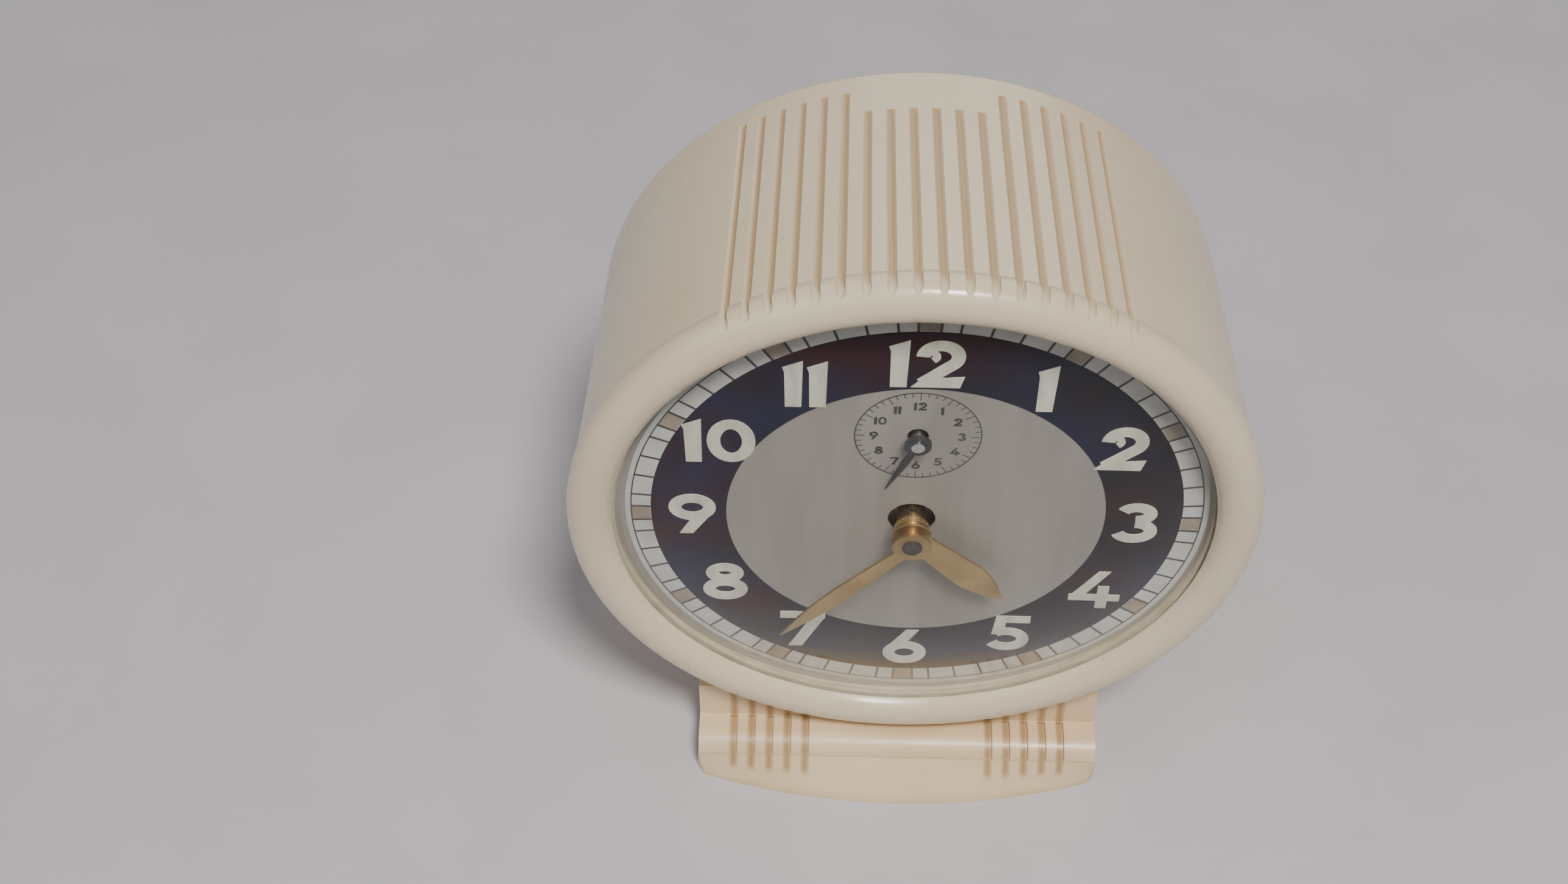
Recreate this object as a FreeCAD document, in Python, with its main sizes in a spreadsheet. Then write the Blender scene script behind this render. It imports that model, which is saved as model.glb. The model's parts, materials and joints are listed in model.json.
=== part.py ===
import FreeCAD, Part
import math
import os
import re

import Sketcher
from FreeCAD import Placement, Rotation, Vector

# A wind-up alarm clock with a round moulded case on a ribbed foot, +Z up, dial towards -Y.
# Clock parts are drawn as seen from the front: x to the right, y up from the hand centre, and a
# "depth" measured rearwards from the front edge of the case. Sizes are millimetres.

SIZES = {
    # where the case sits
    "nose_front": -26.5, "axis_height": 62,
    # case: a tapered drum with a half-round front edge (the nose)
    "nose_mid": 49.6, "nose_tube": 3.6, "lip_radius": 46.2, "lip_depth": 2.4, "lip_back": 2.65,
    "drum_front": 52.72, "drum_front_depth": 5.4, "drum_rear": 51.35, "case_depth": 50.4,
    "seat_radius": 48.2, "seat_back": 8, "inner_front": 50.0, "inner_rear": 48.8, "rear_round": 1.1,
    "groove_round": 0.7, "groove_lift": 0.2, "groove_pitch": 3.73, "side_groove_end": 46,
    "middle_groove_end": 41, "groove_start": -1.5,
    "lug_inner": 42.4, "lug_outer": 50.8, "lug_half": 3, "front_lug_start": 8.3, "front_lug_end": 12.9,
    "rear_lug_start": 40, "rear_lug_end": 46.5, "lug_hole": 1.1, "lug_circle": 45,
    # foot
    "foot_half": 35.2, "foot_crown": -9, "foot_side_front": -3.6, "foot_rear": 46, "foot_waist": 5.5,
    "foot_waist_front": -3, "foot_shoulder": 1, "foot_top": 8, "foot_draft": 0.5, "saddle_foot": 3.6,
    "saddle_front": 4.6, "saddle_top": 15, "foot_corner": 3.5, "foot_gap": 0.06,
    "foot_rib_first": 16.05, "foot_rib_pitch": 3.14, "foot_rib_half": 0.65, "foot_rib_cut": 0.55,
    "foot_rib_end": 2.6, "foot_screw_front": 14, "foot_screw_rear": 38, "foot_screw": 1.5,
    "foot_screw_head": 2.9, "foot_screw_sink": 5, "foot_screw_tip": 0.6, "foot_nut": 3,
    "foot_nut_high": 2.4,
    # glass, spacer ring and dial
    "glass_apex": -6.4, "glass_edge": 48.1, "glass_rim": 45.9, "glass_thick": 1.7, "glass_front": 2.7,
    "glass_back": 4.4, "spacer_inner": 45.7, "spacer_front": 4.45,
    "dial_front": 5.5, "dial_thick": 0.5, "dial_radius": 48.05, "dial_hole": 3.7, "alarm_hole": 1.6,
    "dial_foot": 0.8, "dial_foot_circle": 34,
    # arbors: where each stands, seen from the front
    "alarm_up": 19.3, "time_x": -17.76, "time_y": -6.46, "bell_x": 19.5, "bell_y": -11,
    "third_x": -9.6, "third_y": 9.6, "fourth_x": -15.1, "fourth_y": 19.15,
    "escape_x": -8.1, "escape_y": 26.15, "pallet_x": 1.4, "pallet_y": 25.3,
    "balance_x": 13.2, "balance_y": 27.4, "star_x": 24.2, "star_y": 6.6,
    "hammer_x": 32.5, "hammer_y": 3, "idler_x": 10.45, "idler_y": -6.02,
    # movement plates and pillars
    "front_plate": 13, "plate_thick": 1.5, "rear_plate": 33, "plate_radius": 40.4, "plate_ear": 47.6,
    "ear_half": 3.4, "pillar_circle": 36.5, "pillar_round": 2.5, "pillar_neck": 1.3, "nut_round": 2.6,
    "nut_high": 1.8, "pivot": 0.6, "pivot_play": 0.04, "end_shake": 0.2,
    # motion work behind the dial
    "cannon_round": 1.5, "cannon_front": 10.4, "cannon_back": 12.2, "idler_front": 10.7,
    "idler_back": 11.9, "idler_pinion_front": 7.5, "hour_wheel_front": 8, "hour_wheel_back": 9.2,
    "hour_pipe": 2.2, "hour_collar": 2.7, "collar_front": 2.9, "collar_back": 3.9, "alarm_pipe": 2.4,
    "alarm_pipe_front": 7.2, "alarm_notch": 1.6,
    # hands
    "arbor": 1, "arbor_play": 0.04, "arbor_tip": -0.5, "minute_front": 0.3, "hand_thick": 0.45,
    "minute_long": 30.8, "minute_wide": 1.5, "minute_boss": 3, "minute_angle": 221,
    "hour_front": 1.75, "hour_long": 21.3, "hour_wide": 2.8, "hour_boss": 3.1, "hour_angle": 135,
    "alarm_hand_front": 3.5, "alarm_hand_long": 11, "alarm_hand_wide": 0.55, "alarm_boss": 2,
    "alarm_angle": 204,
    # rear: cover, keys and knobs
    "cover_front": 46.6, "cover_thick": 0.9, "cover_radius": 48.5, "cover_flange": 2, "key_end": 62,
    "knob_front": 49.6, "knob_back": 57.5, "knob_round": 5.2, "knob_groove": 0.55,
    "key_hub": 3, "key_hub_end": 55, "key_half": 10, "key_thick": 2.2, "key_neck": 53,
    "key_notch": 2.2, "key_tang": 1.4, "cover_hole": 2.6, "vent_half": 0.8, "vent_inner": 31,
    "vent_outer": 41, "regulator_left": 9.2, "regulator_right": 17.2, "regulator_low": 34,
    "regulator_high": 37.2, "regulator_reach": 8, "regulator_half": 0.9, "regulator_depth": 35,
    "regulator_stud": 1.2, "stop_x": -33, "stop_y": 16.1, "stop_slot_half": 1.2, "stop_low": 14,
    "stop_high": 24,
    # winding work behind the rear plate
    "winding_arbor": 2.5, "winding_front": 1.6, "winding_rear": 1.9, "ratchet_front": 35.3,
    "ratchet_thick": 1.4, "click_out": 11, "click_boss": 1.9, "click_pin": 0.8, "click_pin_head": 1.7,
    "click_long": 6.5, "click_turn": 33,
    # hammer
    "hammer_arbor": 1.4, "hammer_arm_front": 37.6, "hammer_long": 20, "hammer_half": 1.3,
    "hammer_hub": 2.6, "hammer_head": 3.2, "hammer_head_front": 36.4, "hammer_head_long": 7,
    "hammer_turn": -14, "screw_slot": 0.3,
}

doc = FreeCAD.newDocument("alarm_clock")
sheet = doc.addObject("Spreadsheet::Sheet", "Sizes")
for line, (alias, value) in enumerate(SIZES.items(), start=1):
    sheet.set("A%d" % line, alias)
    sheet.set("B%d" % line, str(value))
    sheet.setAlias("B%d" % line, alias)
doc.recompute()

FRONT_VIEW = Rotation(Vector(1, 0, 0), 90)
nodes = {}


def bound(expression):
    """The expression with every alias pointed at the spreadsheet."""
    return re.sub(r"[a-z_]+", lambda m: "Sizes." + m.group() if m.group() in SIZES else m.group(),
                  str(expression))


def size(expression):
    """The present value of an expression of aliases."""
    return float(doc.Sizes.evalExpression(str(expression)))


def bind(item, path, expression):
    item.setExpression(path, bound(expression))


def node(item, label):
    """Keeps a finished piece under the name of its file."""
    item.Label = label
    nodes[label] = item
    return item


def stand(item, x="0", y="0", depth="0", turn=0):
    """Puts a front-view piece on the arbor at x, y, turned clockwise by turn degrees."""
    rotation = FRONT_VIEW.multiply(Rotation(Vector(0, 0, 1), -turn))
    item.Placement = Placement(Vector(0, 0, 0), rotation)
    bind(item, "Placement.Base.x", x)
    bind(item, "Placement.Base.y", "nose_front + (%s)" % depth)
    bind(item, "Placement.Base.z", "axis_height + (%s)" % y)
    return item


# ---------------------------------------------------------------- sketches and features

def new_body(name):
    return doc.addObject("PartDesign::Body", name + "_body")


def new_sketch(body, role, offset=None):
    sketch = body.newObject("Sketcher::SketchObject", "outline")
    plane = next(item for item in body.Origin.OriginFeatures if item.Role == role)
    sketch.AttachmentSupport = [(plane, "")]
    sketch.MapMode = "FlatFace"
    if offset is not None:
        bind(sketch, "AttachmentOffset.Base.z", offset)
    return sketch


def hold(sketch, kind, geometry, point, expression):
    """Ties one coordinate of a sketch point to an expression."""
    value = size(expression)
    if abs(value) < 1e-9:
        axis = -2 if kind == "DistanceX" else -1
        sketch.addConstraint(Sketcher.Constraint("PointOnObject", geometry, point, axis))
        return
    index = sketch.addConstraint(Sketcher.Constraint(kind, -1, 1, geometry, point, value))
    sketch.renameConstraint(index, "c%d" % index)
    bind(sketch, "Constraints.c%d" % index, expression)


def arc_between(start, end, radius):
    """The anticlockwise arc whose bulge lies left of start-to-end when radius > 0, else right."""
    chord = end - start
    normal = Vector(-chord.y, chord.x, 0).normalize() * math.copysign(1, radius)
    reach = math.sqrt(max(radius * radius - chord.Length ** 2 / 4, 0))
    centre = (start + end) * 0.5 - normal * reach
    first, last = (end, start) if radius > 0 else (start, end)
    first_angle = math.atan2(first.y - centre.y, first.x - centre.x)
    last_angle = math.atan2(last.y - centre.y, last.x - centre.x)
    if last_angle < first_angle:
        last_angle += 2 * math.pi
    return Part.ArcOfCircle(Part.Circle(centre, Vector(0, 0, 1), abs(radius)), first_angle, last_angle)


def hold_centre(sketch, geometry, start, end, radius):
    """Ties an arc's centre, which its two ends and its radius give."""
    sign = "+" if size(radius) > 0 else "-"
    run = "((%s) - (%s))" % (end[0], start[0])
    climb = "((%s) - (%s))" % (end[1], start[1])
    reach = "sqrt(max((%s) ^ 2 / (%s ^ 2 + %s ^ 2) - 0.25; 0))" % (radius, run, climb)
    if abs(size(run)) < abs(size(climb)):
        centre = "((%s) + (%s)) / 2 %s %s * %s" % (start[0], end[0], sign, climb, reach)
        hold(sketch, "DistanceX", geometry, 3, centre)
    else:
        centre = "((%s) + (%s)) / 2 - (0 %s %s * %s)" % (start[1], end[1], sign, run, reach)
        hold(sketch, "DistanceY", geometry, 3, centre)


def draw_outline(sketch, corners, arcs=None):
    """A closed outline through corners; arcs maps a side to its radius, > 0 when it bulges left."""
    arcs = arcs or {}
    first = len(sketch.Geometry)
    points = [Vector(size(u), size(v), 0) for u, v in corners]
    count = len(points)
    ends = []
    for side in range(count):
        start, end = points[side], points[(side + 1) % count]
        if side in arcs:
            sketch.addGeometry(arc_between(start, end, size(arcs[side])), False)
            ends.append((2, 1) if size(arcs[side]) > 0 else (1, 2))
        else:
            sketch.addGeometry(Part.LineSegment(start, end), False)
            ends.append((1, 2))
    for side in range(count):
        after = (side + 1) % count
        sketch.addConstraint(
            Sketcher.Constraint("Coincident", first + side, ends[side][1], first + after, ends[after][0]))
    for side, (u, v) in enumerate(corners):
        hold(sketch, "DistanceX", first + side, ends[side][0], u)
        hold(sketch, "DistanceY", first + side, ends[side][0], v)
    for side, radius in arcs.items():
        hold_centre(sketch, first + side, corners[side], corners[(side + 1) % count], radius)
    sketch.solve()
    for side, point in enumerate(points):
        if sketch.getPoint(first + side, ends[side][0]).distanceToPoint(point) > 1e-4:
            raise RuntimeError("corner %d of %s has moved" % (side, sketch.Name))
    return sketch


def draw_circle(sketch, x, y, radius):
    index = sketch.addGeometry(Part.Circle(Vector(size(x), size(y), 0), Vector(0, 0, 1), size(radius)), False)
    hold(sketch, "DistanceX", index, 3, x)
    hold(sketch, "DistanceY", index, 3, y)
    number = sketch.addConstraint(Sketcher.Constraint("Radius", index, size(radius)))
    sketch.renameConstraint(number, "c%d" % number)
    bind(sketch, "Constraints.c%d" % number, radius)
    return sketch


def revolve(body, profile, arcs=None):
    """Turns a profile of (radius, depth) corners about the arbor."""
    sketch = new_sketch(body, "XZ_Plane")
    draw_outline(sketch, [(r, "-(%s)" % depth) for r, depth in profile], arcs)
    turned = body.newObject("PartDesign::Revolution", "turned")
    turned.Profile = sketch
    turned.ReferenceAxis = (sketch, ["V_Axis"])
    turned.Angle = 360
    doc.recompute()
    return turned


def pad(body, sketch, length, rearward=True, centred=False):
    block = body.newObject("PartDesign::Pad", "block")
    block.Profile = sketch
    bind(block, "Length", length)
    block.Reversed = rearward
    block.Midplane = centred
    doc.recompute()
    return block


def pocket(body, sketch, length, rearward=True, centred=False):
    """Cuts a pocket and makes sure that it took something away."""
    before = body.Shape.Volume
    cut = body.newObject("PartDesign::Pocket", "cut")
    cut.Profile = sketch
    bind(cut, "Length", length)
    cut.Reversed = not rearward
    cut.Midplane = centred
    doc.recompute()
    if body.Shape.Volume > before - 1e-4:
        raise RuntimeError("a pocket in %s cuts nothing" % body.Name)
    return cut


def around(body, features, count, angle=360):
    """Repeats features about the arbor."""
    pattern = body.newObject("PartDesign::PolarPattern", "ring")
    pattern.Originals = features
    axis = next(item for item in body.Origin.OriginFeatures if item.Role == "Z_Axis")
    pattern.Axis = (axis, [""])
    pattern.Angle = angle
    pattern.Occurrences = count
    body.Tip = pattern
    doc.recompute()
    return pattern


def turned_piece(label, profile, x="0", y="0", arcs=None):
    """A piece that is all one turning."""
    body = new_body(label)
    revolve(body, profile, arcs)
    return node(stand(body, x, y), label)


def spindle(steps):
    """The profile of a solid stepped shaft from (radius, front depth, rear depth) steps."""
    corners = [("0", steps[0][1])]
    for radius, front, rear in steps:
        corners += [(radius, front), (radius, rear)]
    return corners + [("0", steps[-1][2])]


def sleeve(inner, outer, front, rear):
    return [(inner, front), (outer, front), (outer, rear), (inner, rear)]


def joined(kind, name, base, tool):
    item = doc.addObject(kind, name)
    item.Base = base
    item.Tool = tool
    return item


# ---------------------------------------------------------------- toothed wheels

WHEEL_TOOTH = {"rise": 0.85, "fall": 1.2, "root": 0.25, "pitch": 0.21, "tip": 0.07}
PINION_TOOTH = {"rise": 0.7, "fall": 1.25, "root": 0.17, "pitch": 0.17, "tip": 0.07}
FEWEST_WHEEL_TEETH = 13


def tooth_outline(teeth, module):
    """The closed wire of a toothed wheel, with a tooth on the +x axis."""
    tooth = WHEEL_TOOTH if teeth >= FEWEST_WHEEL_TEETH else PINION_TOOTH
    pitch_radius = teeth * module / 2
    root_radius = pitch_radius - tooth["fall"] * module
    tip_radius = pitch_radius + tooth["rise"] * module
    step = 2 * math.pi / teeth
    half = [(root_radius, tooth["root"]), (pitch_radius, tooth["pitch"]), (tip_radius, tooth["tip"])]
    flank = [(r, -part) for r, part in half] + [(r, part) for r, part in reversed(half)]
    points = []
    for number in range(teeth):
        for radius, part in flank:
            angle = step * (number + part)
            points.append(Vector(radius * math.cos(angle), radius * math.sin(angle), 0))
    return Part.makePolygon(points + points[:1])


def toothed(teeth, module, front, rear, turn):
    """A toothed disc between two depths, turned anticlockwise by turn degrees."""
    face = Part.Face(tooth_outline(teeth, module))
    disc = face.extrude(Vector(0, 0, rear - front))
    disc.translate(Vector(0, 0, -rear))
    disc.rotate(Vector(0, 0, 0), Vector(0, 0, 1), turn)
    return disc


def cylinder(radius, front, rear, x=0.0, y=0.0):
    return Part.makeCylinder(radius, rear - front, Vector(x, y, -rear), Vector(0, 0, 1))


def spoked(disc, teeth, module, front, rear, hub, spokes):
    """Crosses a wheel out into spokes."""
    rim = teeth * module / 2 - 1.2 * module - 1.6
    if rim - hub < 2.5:
        return disc
    window = cylinder(rim, front - 1, rear + 1).cut(cylinder(hub, front - 2, rear + 2))
    spoke_half = 0.9
    for number in range(spokes):
        bar = Part.makeBox(rim + 1, 2 * spoke_half, rear - front + 4, Vector(0, -spoke_half, -rear - 2))
        bar.rotate(Vector(0, 0, 0), Vector(0, 0, 1), number * 360.0 / spokes)
        window = window.cut(bar)
    return disc.cut(window)


def solid_piece(label, shape, x="0", y="0"):
    item = doc.addObject("Part::Feature", label)
    item.Shape = shape
    return node(stand(item, x, y), label)


def mesh_turn(driver_turn, driver_teeth, teeth, bearing):
    """The turn that puts a wheel in mesh with the driver, which lies at the opposite bearing."""
    lead = (bearing - driver_turn) * driver_teeth / 360.0
    lead -= math.floor(lead)
    return bearing + 180 + lead * 360.0 / teeth + 180.0 / teeth


def bearing_of(x0, y0, x1, y1):
    return math.degrees(math.atan2(size(y1) - size(y0), size(x1) - size(x0)))


# ---------------------------------------------------------------- case

def case_shell():
    body = new_body("case")
    profile = [("lip_radius", "lip_depth"), ("nose_mid + nose_tube", "nose_tube"),
               ("drum_front", "drum_front_depth"), ("drum_rear", "case_depth - rear_round"),
               ("drum_rear - rear_round", "case_depth"), ("inner_rear", "case_depth"),
               ("inner_front", "seat_back"), ("seat_radius", "seat_back"), ("seat_radius", "lip_back"),
               ("lip_radius", "lip_back")]
    arcs = {0: "nose_tube", 1: "nose_tube", 3: "rear_round"}
    revolve(body, profile, arcs)
    for start, end in (("front_lug_start", "front_lug_end"), ("rear_lug_start", "rear_lug_end")):
        sketch = new_sketch(body, "XY_Plane", "-" + start)
        draw_outline(sketch, [("-lug_half", "lug_inner"), ("lug_half", "lug_inner"),
                              ("lug_half", "lug_outer"), ("-lug_half", "lug_outer")])
        block = pad(body, sketch, "%s - %s" % (end, start))
        around(body, [block], 3)
        hole_sketch = new_sketch(body, "XY_Plane", "-" + start)
        draw_circle(hole_sketch, "0", "lug_circle", "lug_hole")
        hole = pocket(body, hole_sketch, "%s - %s" % (end, start))
        around(body, [hole], 3)
    stand(body)
    cutters = [drum_groove(number) for number in range(18)]
    for place in ("foot_screw_front", "foot_screw_rear"):
        hole = doc.addObject("Part::Cylinder", "screw_hole")
        bind(hole, "Radius", "foot_screw + 0.1")
        hole.Height = 20
        bind(hole, "Placement.Base.y", "nose_front + " + place)
        cutters.append(hole)
    tools = doc.addObject("Part::MultiFuse", "case_cutters")
    tools.Shapes = cutters
    shell = doc.addObject("Part::Cut", "case_shell")
    shell.Base = body
    shell.Tool = tools
    return node(shell, "case_shell")


def drum_groove(number):
    """One of the fluted grooves along the top of the drum, parallel to its taper."""
    groove = doc.addObject("Part::Cylinder", "groove")
    bearing = (number - 8.5) * size("groove_pitch")
    end = "middle_groove_end" if 6 <= number < 12 else "side_groove_end"
    slope = "(drum_front - drum_rear) / (case_depth - drum_front_depth)"
    start_radius = "(drum_front + groove_lift + (drum_front_depth - groove_start) * %s)" % slope
    bind(groove, "Radius", "groove_round")
    bind(groove, "Height", "%s - groove_start" % end)
    tilt = math.degrees(math.atan(size(slope)))
    lie_back = Rotation(Vector(1, 0, 0), -90 - tilt)
    groove.Placement = Placement(Vector(0, 0, 0), Rotation(Vector(0, 1, 0), bearing).multiply(lie_back))
    bind(groove, "Placement.Base.x", "%s * sin(%r deg)" % (start_radius, bearing))
    bind(groove, "Placement.Base.y", "nose_front + groove_start")
    bind(groove, "Placement.Base.z", "axis_height + %s * cos(%r deg)" % (start_radius, bearing))
    return groove


FOOT_CURVE = ("((foot_half ^ 2 + (foot_side_front - foot_crown) ^ 2)"
              " / 2 / (foot_side_front - foot_crown))")


def foot():
    body = new_body("foot")
    bind(body, "Placement.Base.y", "nose_front")
    rise = "foot_waist"
    base = draw_outline(
        new_sketch(body, "XY_Plane"),
        [("-foot_half", "foot_side_front"), ("foot_half", "foot_side_front"),
         ("foot_half", "foot_rear"), ("-foot_half", "foot_rear")],
        {0: "-" + FOOT_CURVE})
    waist = draw_outline(
        new_sketch(body, "XY_Plane", rise),
        [("-(foot_half - foot_draft)", "foot_waist_front + 0.3"),
         ("foot_half - foot_draft", "foot_waist_front + 0.3"),
         ("foot_half - foot_draft", "foot_rear - foot_draft"),
         ("-(foot_half - foot_draft)", "foot_rear - foot_draft")],
        {0: "-(foot_half - foot_draft) ^ 2 / 2 / 0.3"})
    apron = body.newObject("PartDesign::AdditiveLoft", "apron")
    apron.Profile = base
    apron.Sections = [waist]
    doc.recompute()
    side = draw_outline(
        new_sketch(body, "YZ_Plane"),
        [("foot_waist_front", rise), ("foot_shoulder", "foot_top"), ("saddle_foot", "foot_top"),
         ("saddle_front", "saddle_top"), ("foot_rear - foot_draft", "saddle_top"),
         ("foot_rear - foot_draft", rise)],
        {0: "4.2"})
    pad(body, side, "2 * (foot_half - foot_draft)", centred=True)
    for number in range(5):
        for sign in ("", "-"):
            foot_rib(body, "%s(foot_rib_first + %d * foot_rib_pitch)" % (sign, number))
    for place in ("foot_screw_front", "foot_screw_rear"):
        for radius, depth in (("foot_screw_head + 0.2", "foot_screw_sink"), ("foot_screw + 0.1", "20")):
            sketch = draw_circle(new_sketch(body, "XY_Plane"), "0", place, radius)
            pocket(body, sketch, depth, rearward=False)
    rounded = joined("Part::Common", "foot_rounded", body, foot_footprint())
    return node(foot_saddle(rounded), "foot")


def foot_footprint():
    """A block with the plan outline of the foot, its corners rounded."""
    body = new_body("foot_footprint")
    bind(body, "Placement.Base.y", "nose_front")
    inset = "(foot_half - foot_corner)"
    front = "(foot_crown + %s - sqrt(%s ^ 2 - %s ^ 2))" % (FOOT_CURVE, FOOT_CURVE, inset)
    front_side = "foot_side_front + foot_corner"
    rear_side = "foot_rear - foot_corner"
    outline = draw_outline(
        new_sketch(body, "XY_Plane"),
        [("-foot_half", rear_side), ("-foot_half", front_side), ("-" + inset, front), (inset, front),
         ("foot_half", front_side), ("foot_half", rear_side), (inset, "foot_rear"), ("-" + inset, "foot_rear")],
        {1: "-foot_corner * 1.1", 2: "-" + FOOT_CURVE, 3: "-foot_corner * 1.1", 5: "-foot_corner",
         7: "-foot_corner"})
    pad(body, outline, "saddle_top + 1", rearward=False)
    return body


def foot_rib(body, x):
    """A groove over the shoulder and down the apron, fading out above the base."""
    base_front = "(foot_crown + (%s) ^ 2 / 2 / %s)" % (x, FOOT_CURVE)
    share = "((foot_waist - foot_rib_end) / foot_waist)"
    low_front = "(foot_waist_front + (%s - foot_waist_front) * %s)" % (base_front, share)
    sketch = draw_outline(
        new_sketch(body, "YZ_Plane", x),
        [("saddle_foot - 0.3", "foot_top + 2"), ("saddle_foot - 0.3", "foot_top - foot_rib_cut"),
         ("foot_shoulder", "foot_top - foot_rib_cut"),
         ("foot_waist_front + foot_rib_cut", "foot_waist"),
         (low_front, "foot_rib_end"), ("-14", "foot_rib_end"), ("-14", "foot_top + 2")],
        {2: "-4"})
    pocket(body, sketch, "2 * foot_rib_half", centred=True)


def foot_saddle(body):
    """Hollows the foot to the drum and nose that rest in it."""
    drum = doc.addObject("Part::Cone", "saddle_drum")
    bind(drum, "Radius1", "drum_front + foot_gap")
    bind(drum, "Radius2", "drum_rear + foot_gap")
    bind(drum, "Height", "case_depth - drum_front_depth")
    drum.Placement = Placement(Vector(0, 0, 0), Rotation(Vector(1, 0, 0), -90))
    bind(drum, "Placement.Base.y", "nose_front + drum_front_depth")
    bind(drum, "Placement.Base.z", "axis_height")
    nose = doc.addObject("Part::Torus", "saddle_nose")
    bind(nose, "Radius1", "nose_mid")
    bind(nose, "Radius2", "nose_tube + foot_gap")
    nose.Placement = Placement(Vector(0, 0, 0), FRONT_VIEW)
    bind(nose, "Placement.Base.y", "nose_front + nose_tube")
    bind(nose, "Placement.Base.z", "axis_height")
    core = doc.addObject("Part::Cylinder", "saddle_core")
    bind(core, "Radius", "nose_mid + 2.5")
    bind(core, "Height", "drum_front_depth - nose_tube + 1")
    core.Placement = Placement(Vector(0, 0, 0), Rotation(Vector(1, 0, 0), -90))
    bind(core, "Placement.Base.y", "nose_front + nose_tube")
    bind(core, "Placement.Base.z", "axis_height")
    tools = doc.addObject("Part::MultiFuse", "saddle_cutters")
    tools.Shapes = [drum, nose, core]
    return joined("Part::Cut", "foot_cut", body, tools)


def foot_fasteners():
    """Two screws up through the foot and their nuts inside the case."""
    screws = []
    nuts = []
    for place in ("foot_screw_front", "foot_screw_rear"):
        wall = "(inner_front - (inner_front - inner_rear) * (%s + foot_nut - seat_back)" % place
        wall += " / (case_depth - seat_back))"
        nut_seat = "(axis_height - sqrt(%s ^ 2 - foot_nut ^ 2) + foot_gap)" % wall
        tip = nut_seat + " + foot_nut_high + foot_screw_tip"
        body = new_body("foot_screw")
        sketch = new_sketch(body, "XZ_Plane")
        draw_outline(sketch, [("0", "foot_screw_sink - 2.2"), ("foot_screw_head", "foot_screw_sink - 2.2"),
                              ("foot_screw_head", "foot_screw_sink"), ("foot_screw", "foot_screw_sink"),
                              ("foot_screw", tip), ("0", tip)])
        turned = body.newObject("PartDesign::Revolution", "turned")
        turned.Profile = sketch
        turned.ReferenceAxis = (sketch, ["V_Axis"])
        slot = draw_outline(new_sketch(body, "XY_Plane", "foot_screw_sink - 2.2"),
                            [("-foot_screw_head", "-0.45"), ("foot_screw_head", "-0.45"),
                             ("foot_screw_head", "0.45"), ("-foot_screw_head", "0.45")])
        doc.recompute()
        pocket(body, slot, "1", rearward=False)
        bind(body, "Placement.Base.y", "nose_front + " + place)
        screws.append(body)
        nut = doc.addObject("Part::Prism", "foot_nut")
        nut.Polygon = 6
        bind(nut, "Circumradius", "foot_nut")
        bind(nut, "Height", "foot_nut_high")
        hole = doc.addObject("Part::Cylinder", "foot_nut_hole")
        bind(hole, "Radius", "foot_screw")
        bind(hole, "Height", "foot_nut_high")
        for item in (nut, hole):
            bind(item, "Placement.Base.y", "nose_front + " + place)
            bind(item, "Placement.Base.z", nut_seat)
        ring = doc.addObject("Part::Cut", "foot_nut_ring")
        ring.Base = nut
        ring.Tool = hole
        nuts.append(ring)
    for label, pieces in (("foot_screws", screws), ("foot_nuts", nuts)):
        group = doc.addObject("Part::Compound", label)
        group.Links = pieces
        node(group, label)


def upright_cylinder(name, radius, front, rear):
    """A plain cylinder about the hand centre between two depths."""
    item = doc.addObject("Part::Cylinder", name)
    bind(item, "Radius", radius)
    bind(item, "Height", "(%s) - (%s)" % (rear, front))
    return stand(item, depth=rear)


def front_glass():
    """A domed glass: the shell between two upright spheres on a flat flange."""
    inner_rim = "glass_rim - 0.6"
    spheres = []
    for name, apex, rim, rim_depth in (
            ("glass_outside", "glass_apex", "glass_rim", "glass_front"),
            ("glass_inside", "(glass_apex + glass_thick)", "(%s)" % inner_rim, "glass_back")):
        radius = "((%s ^ 2 + (%s - %s) ^ 2) / 2 / (%s - %s))" % (rim, rim_depth, apex, rim_depth, apex)
        sphere = doc.addObject("Part::Sphere", name)
        bind(sphere, "Radius", radius)
        bind(sphere, "Placement.Base.y", "nose_front + %s + %s" % (apex, radius))
        bind(sphere, "Placement.Base.z", "axis_height")
        spheres.append(sphere)
    shell = joined("Part::Cut", "glass_shell", spheres[0], spheres[1])
    window = upright_cylinder("glass_window", "glass_rim", "glass_apex - 2", "glass_back")
    dome = joined("Part::Common", "glass_dome", shell, window)
    disc = upright_cylinder("glass_disc", "glass_edge", "glass_front", "glass_back")
    hollow = upright_cylinder("glass_hollow", inner_rim, "glass_front - 1", "glass_back + 1")
    flange = joined("Part::Cut", "glass_flange", disc, hollow)
    node(joined("Part::Fuse", "front_glass", dome, flange), "front_glass")


def dial_and_spacer():
    turned_piece("dial_spacer_ring", sleeve("spacer_inner", "glass_edge", "spacer_front", "dial_front"))
    body = new_body("dial")
    disc = draw_circle(new_sketch(body, "XY_Plane", "-dial_front"), "0", "0", "dial_radius")
    draw_circle(disc, "0", "0", "dial_hole")
    draw_circle(disc, "0", "alarm_up", "alarm_hole")
    pad(body, disc, "dial_thick")
    peg = draw_circle(new_sketch(body, "XY_Plane", "-(dial_front + dial_thick)"),
                      "0", "-dial_foot_circle", "dial_foot")
    feet = pad(body, peg, "front_plate - dial_front - dial_thick")
    around(body, [feet], 3)
    node(stand(body), "dial")


# ---------------------------------------------------------------- movement frame

ARBORS = (("time_x", "time_y", "winding_arbor"), ("bell_x", "bell_y", "winding_arbor"),
          ("0", "alarm_up", "arbor"), ("0", "0", "arbor"))
PIVOTS = (("third_x", "third_y"), ("fourth_x", "fourth_y"), ("escape_x", "escape_y"),
          ("pallet_x", "pallet_y"), ("balance_x", "balance_y"), ("star_x", "star_y"))
PILLAR_BEARINGS = (25, 100, 155, 262)
LUG_BEARINGS = (90, 210, 330)


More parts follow.
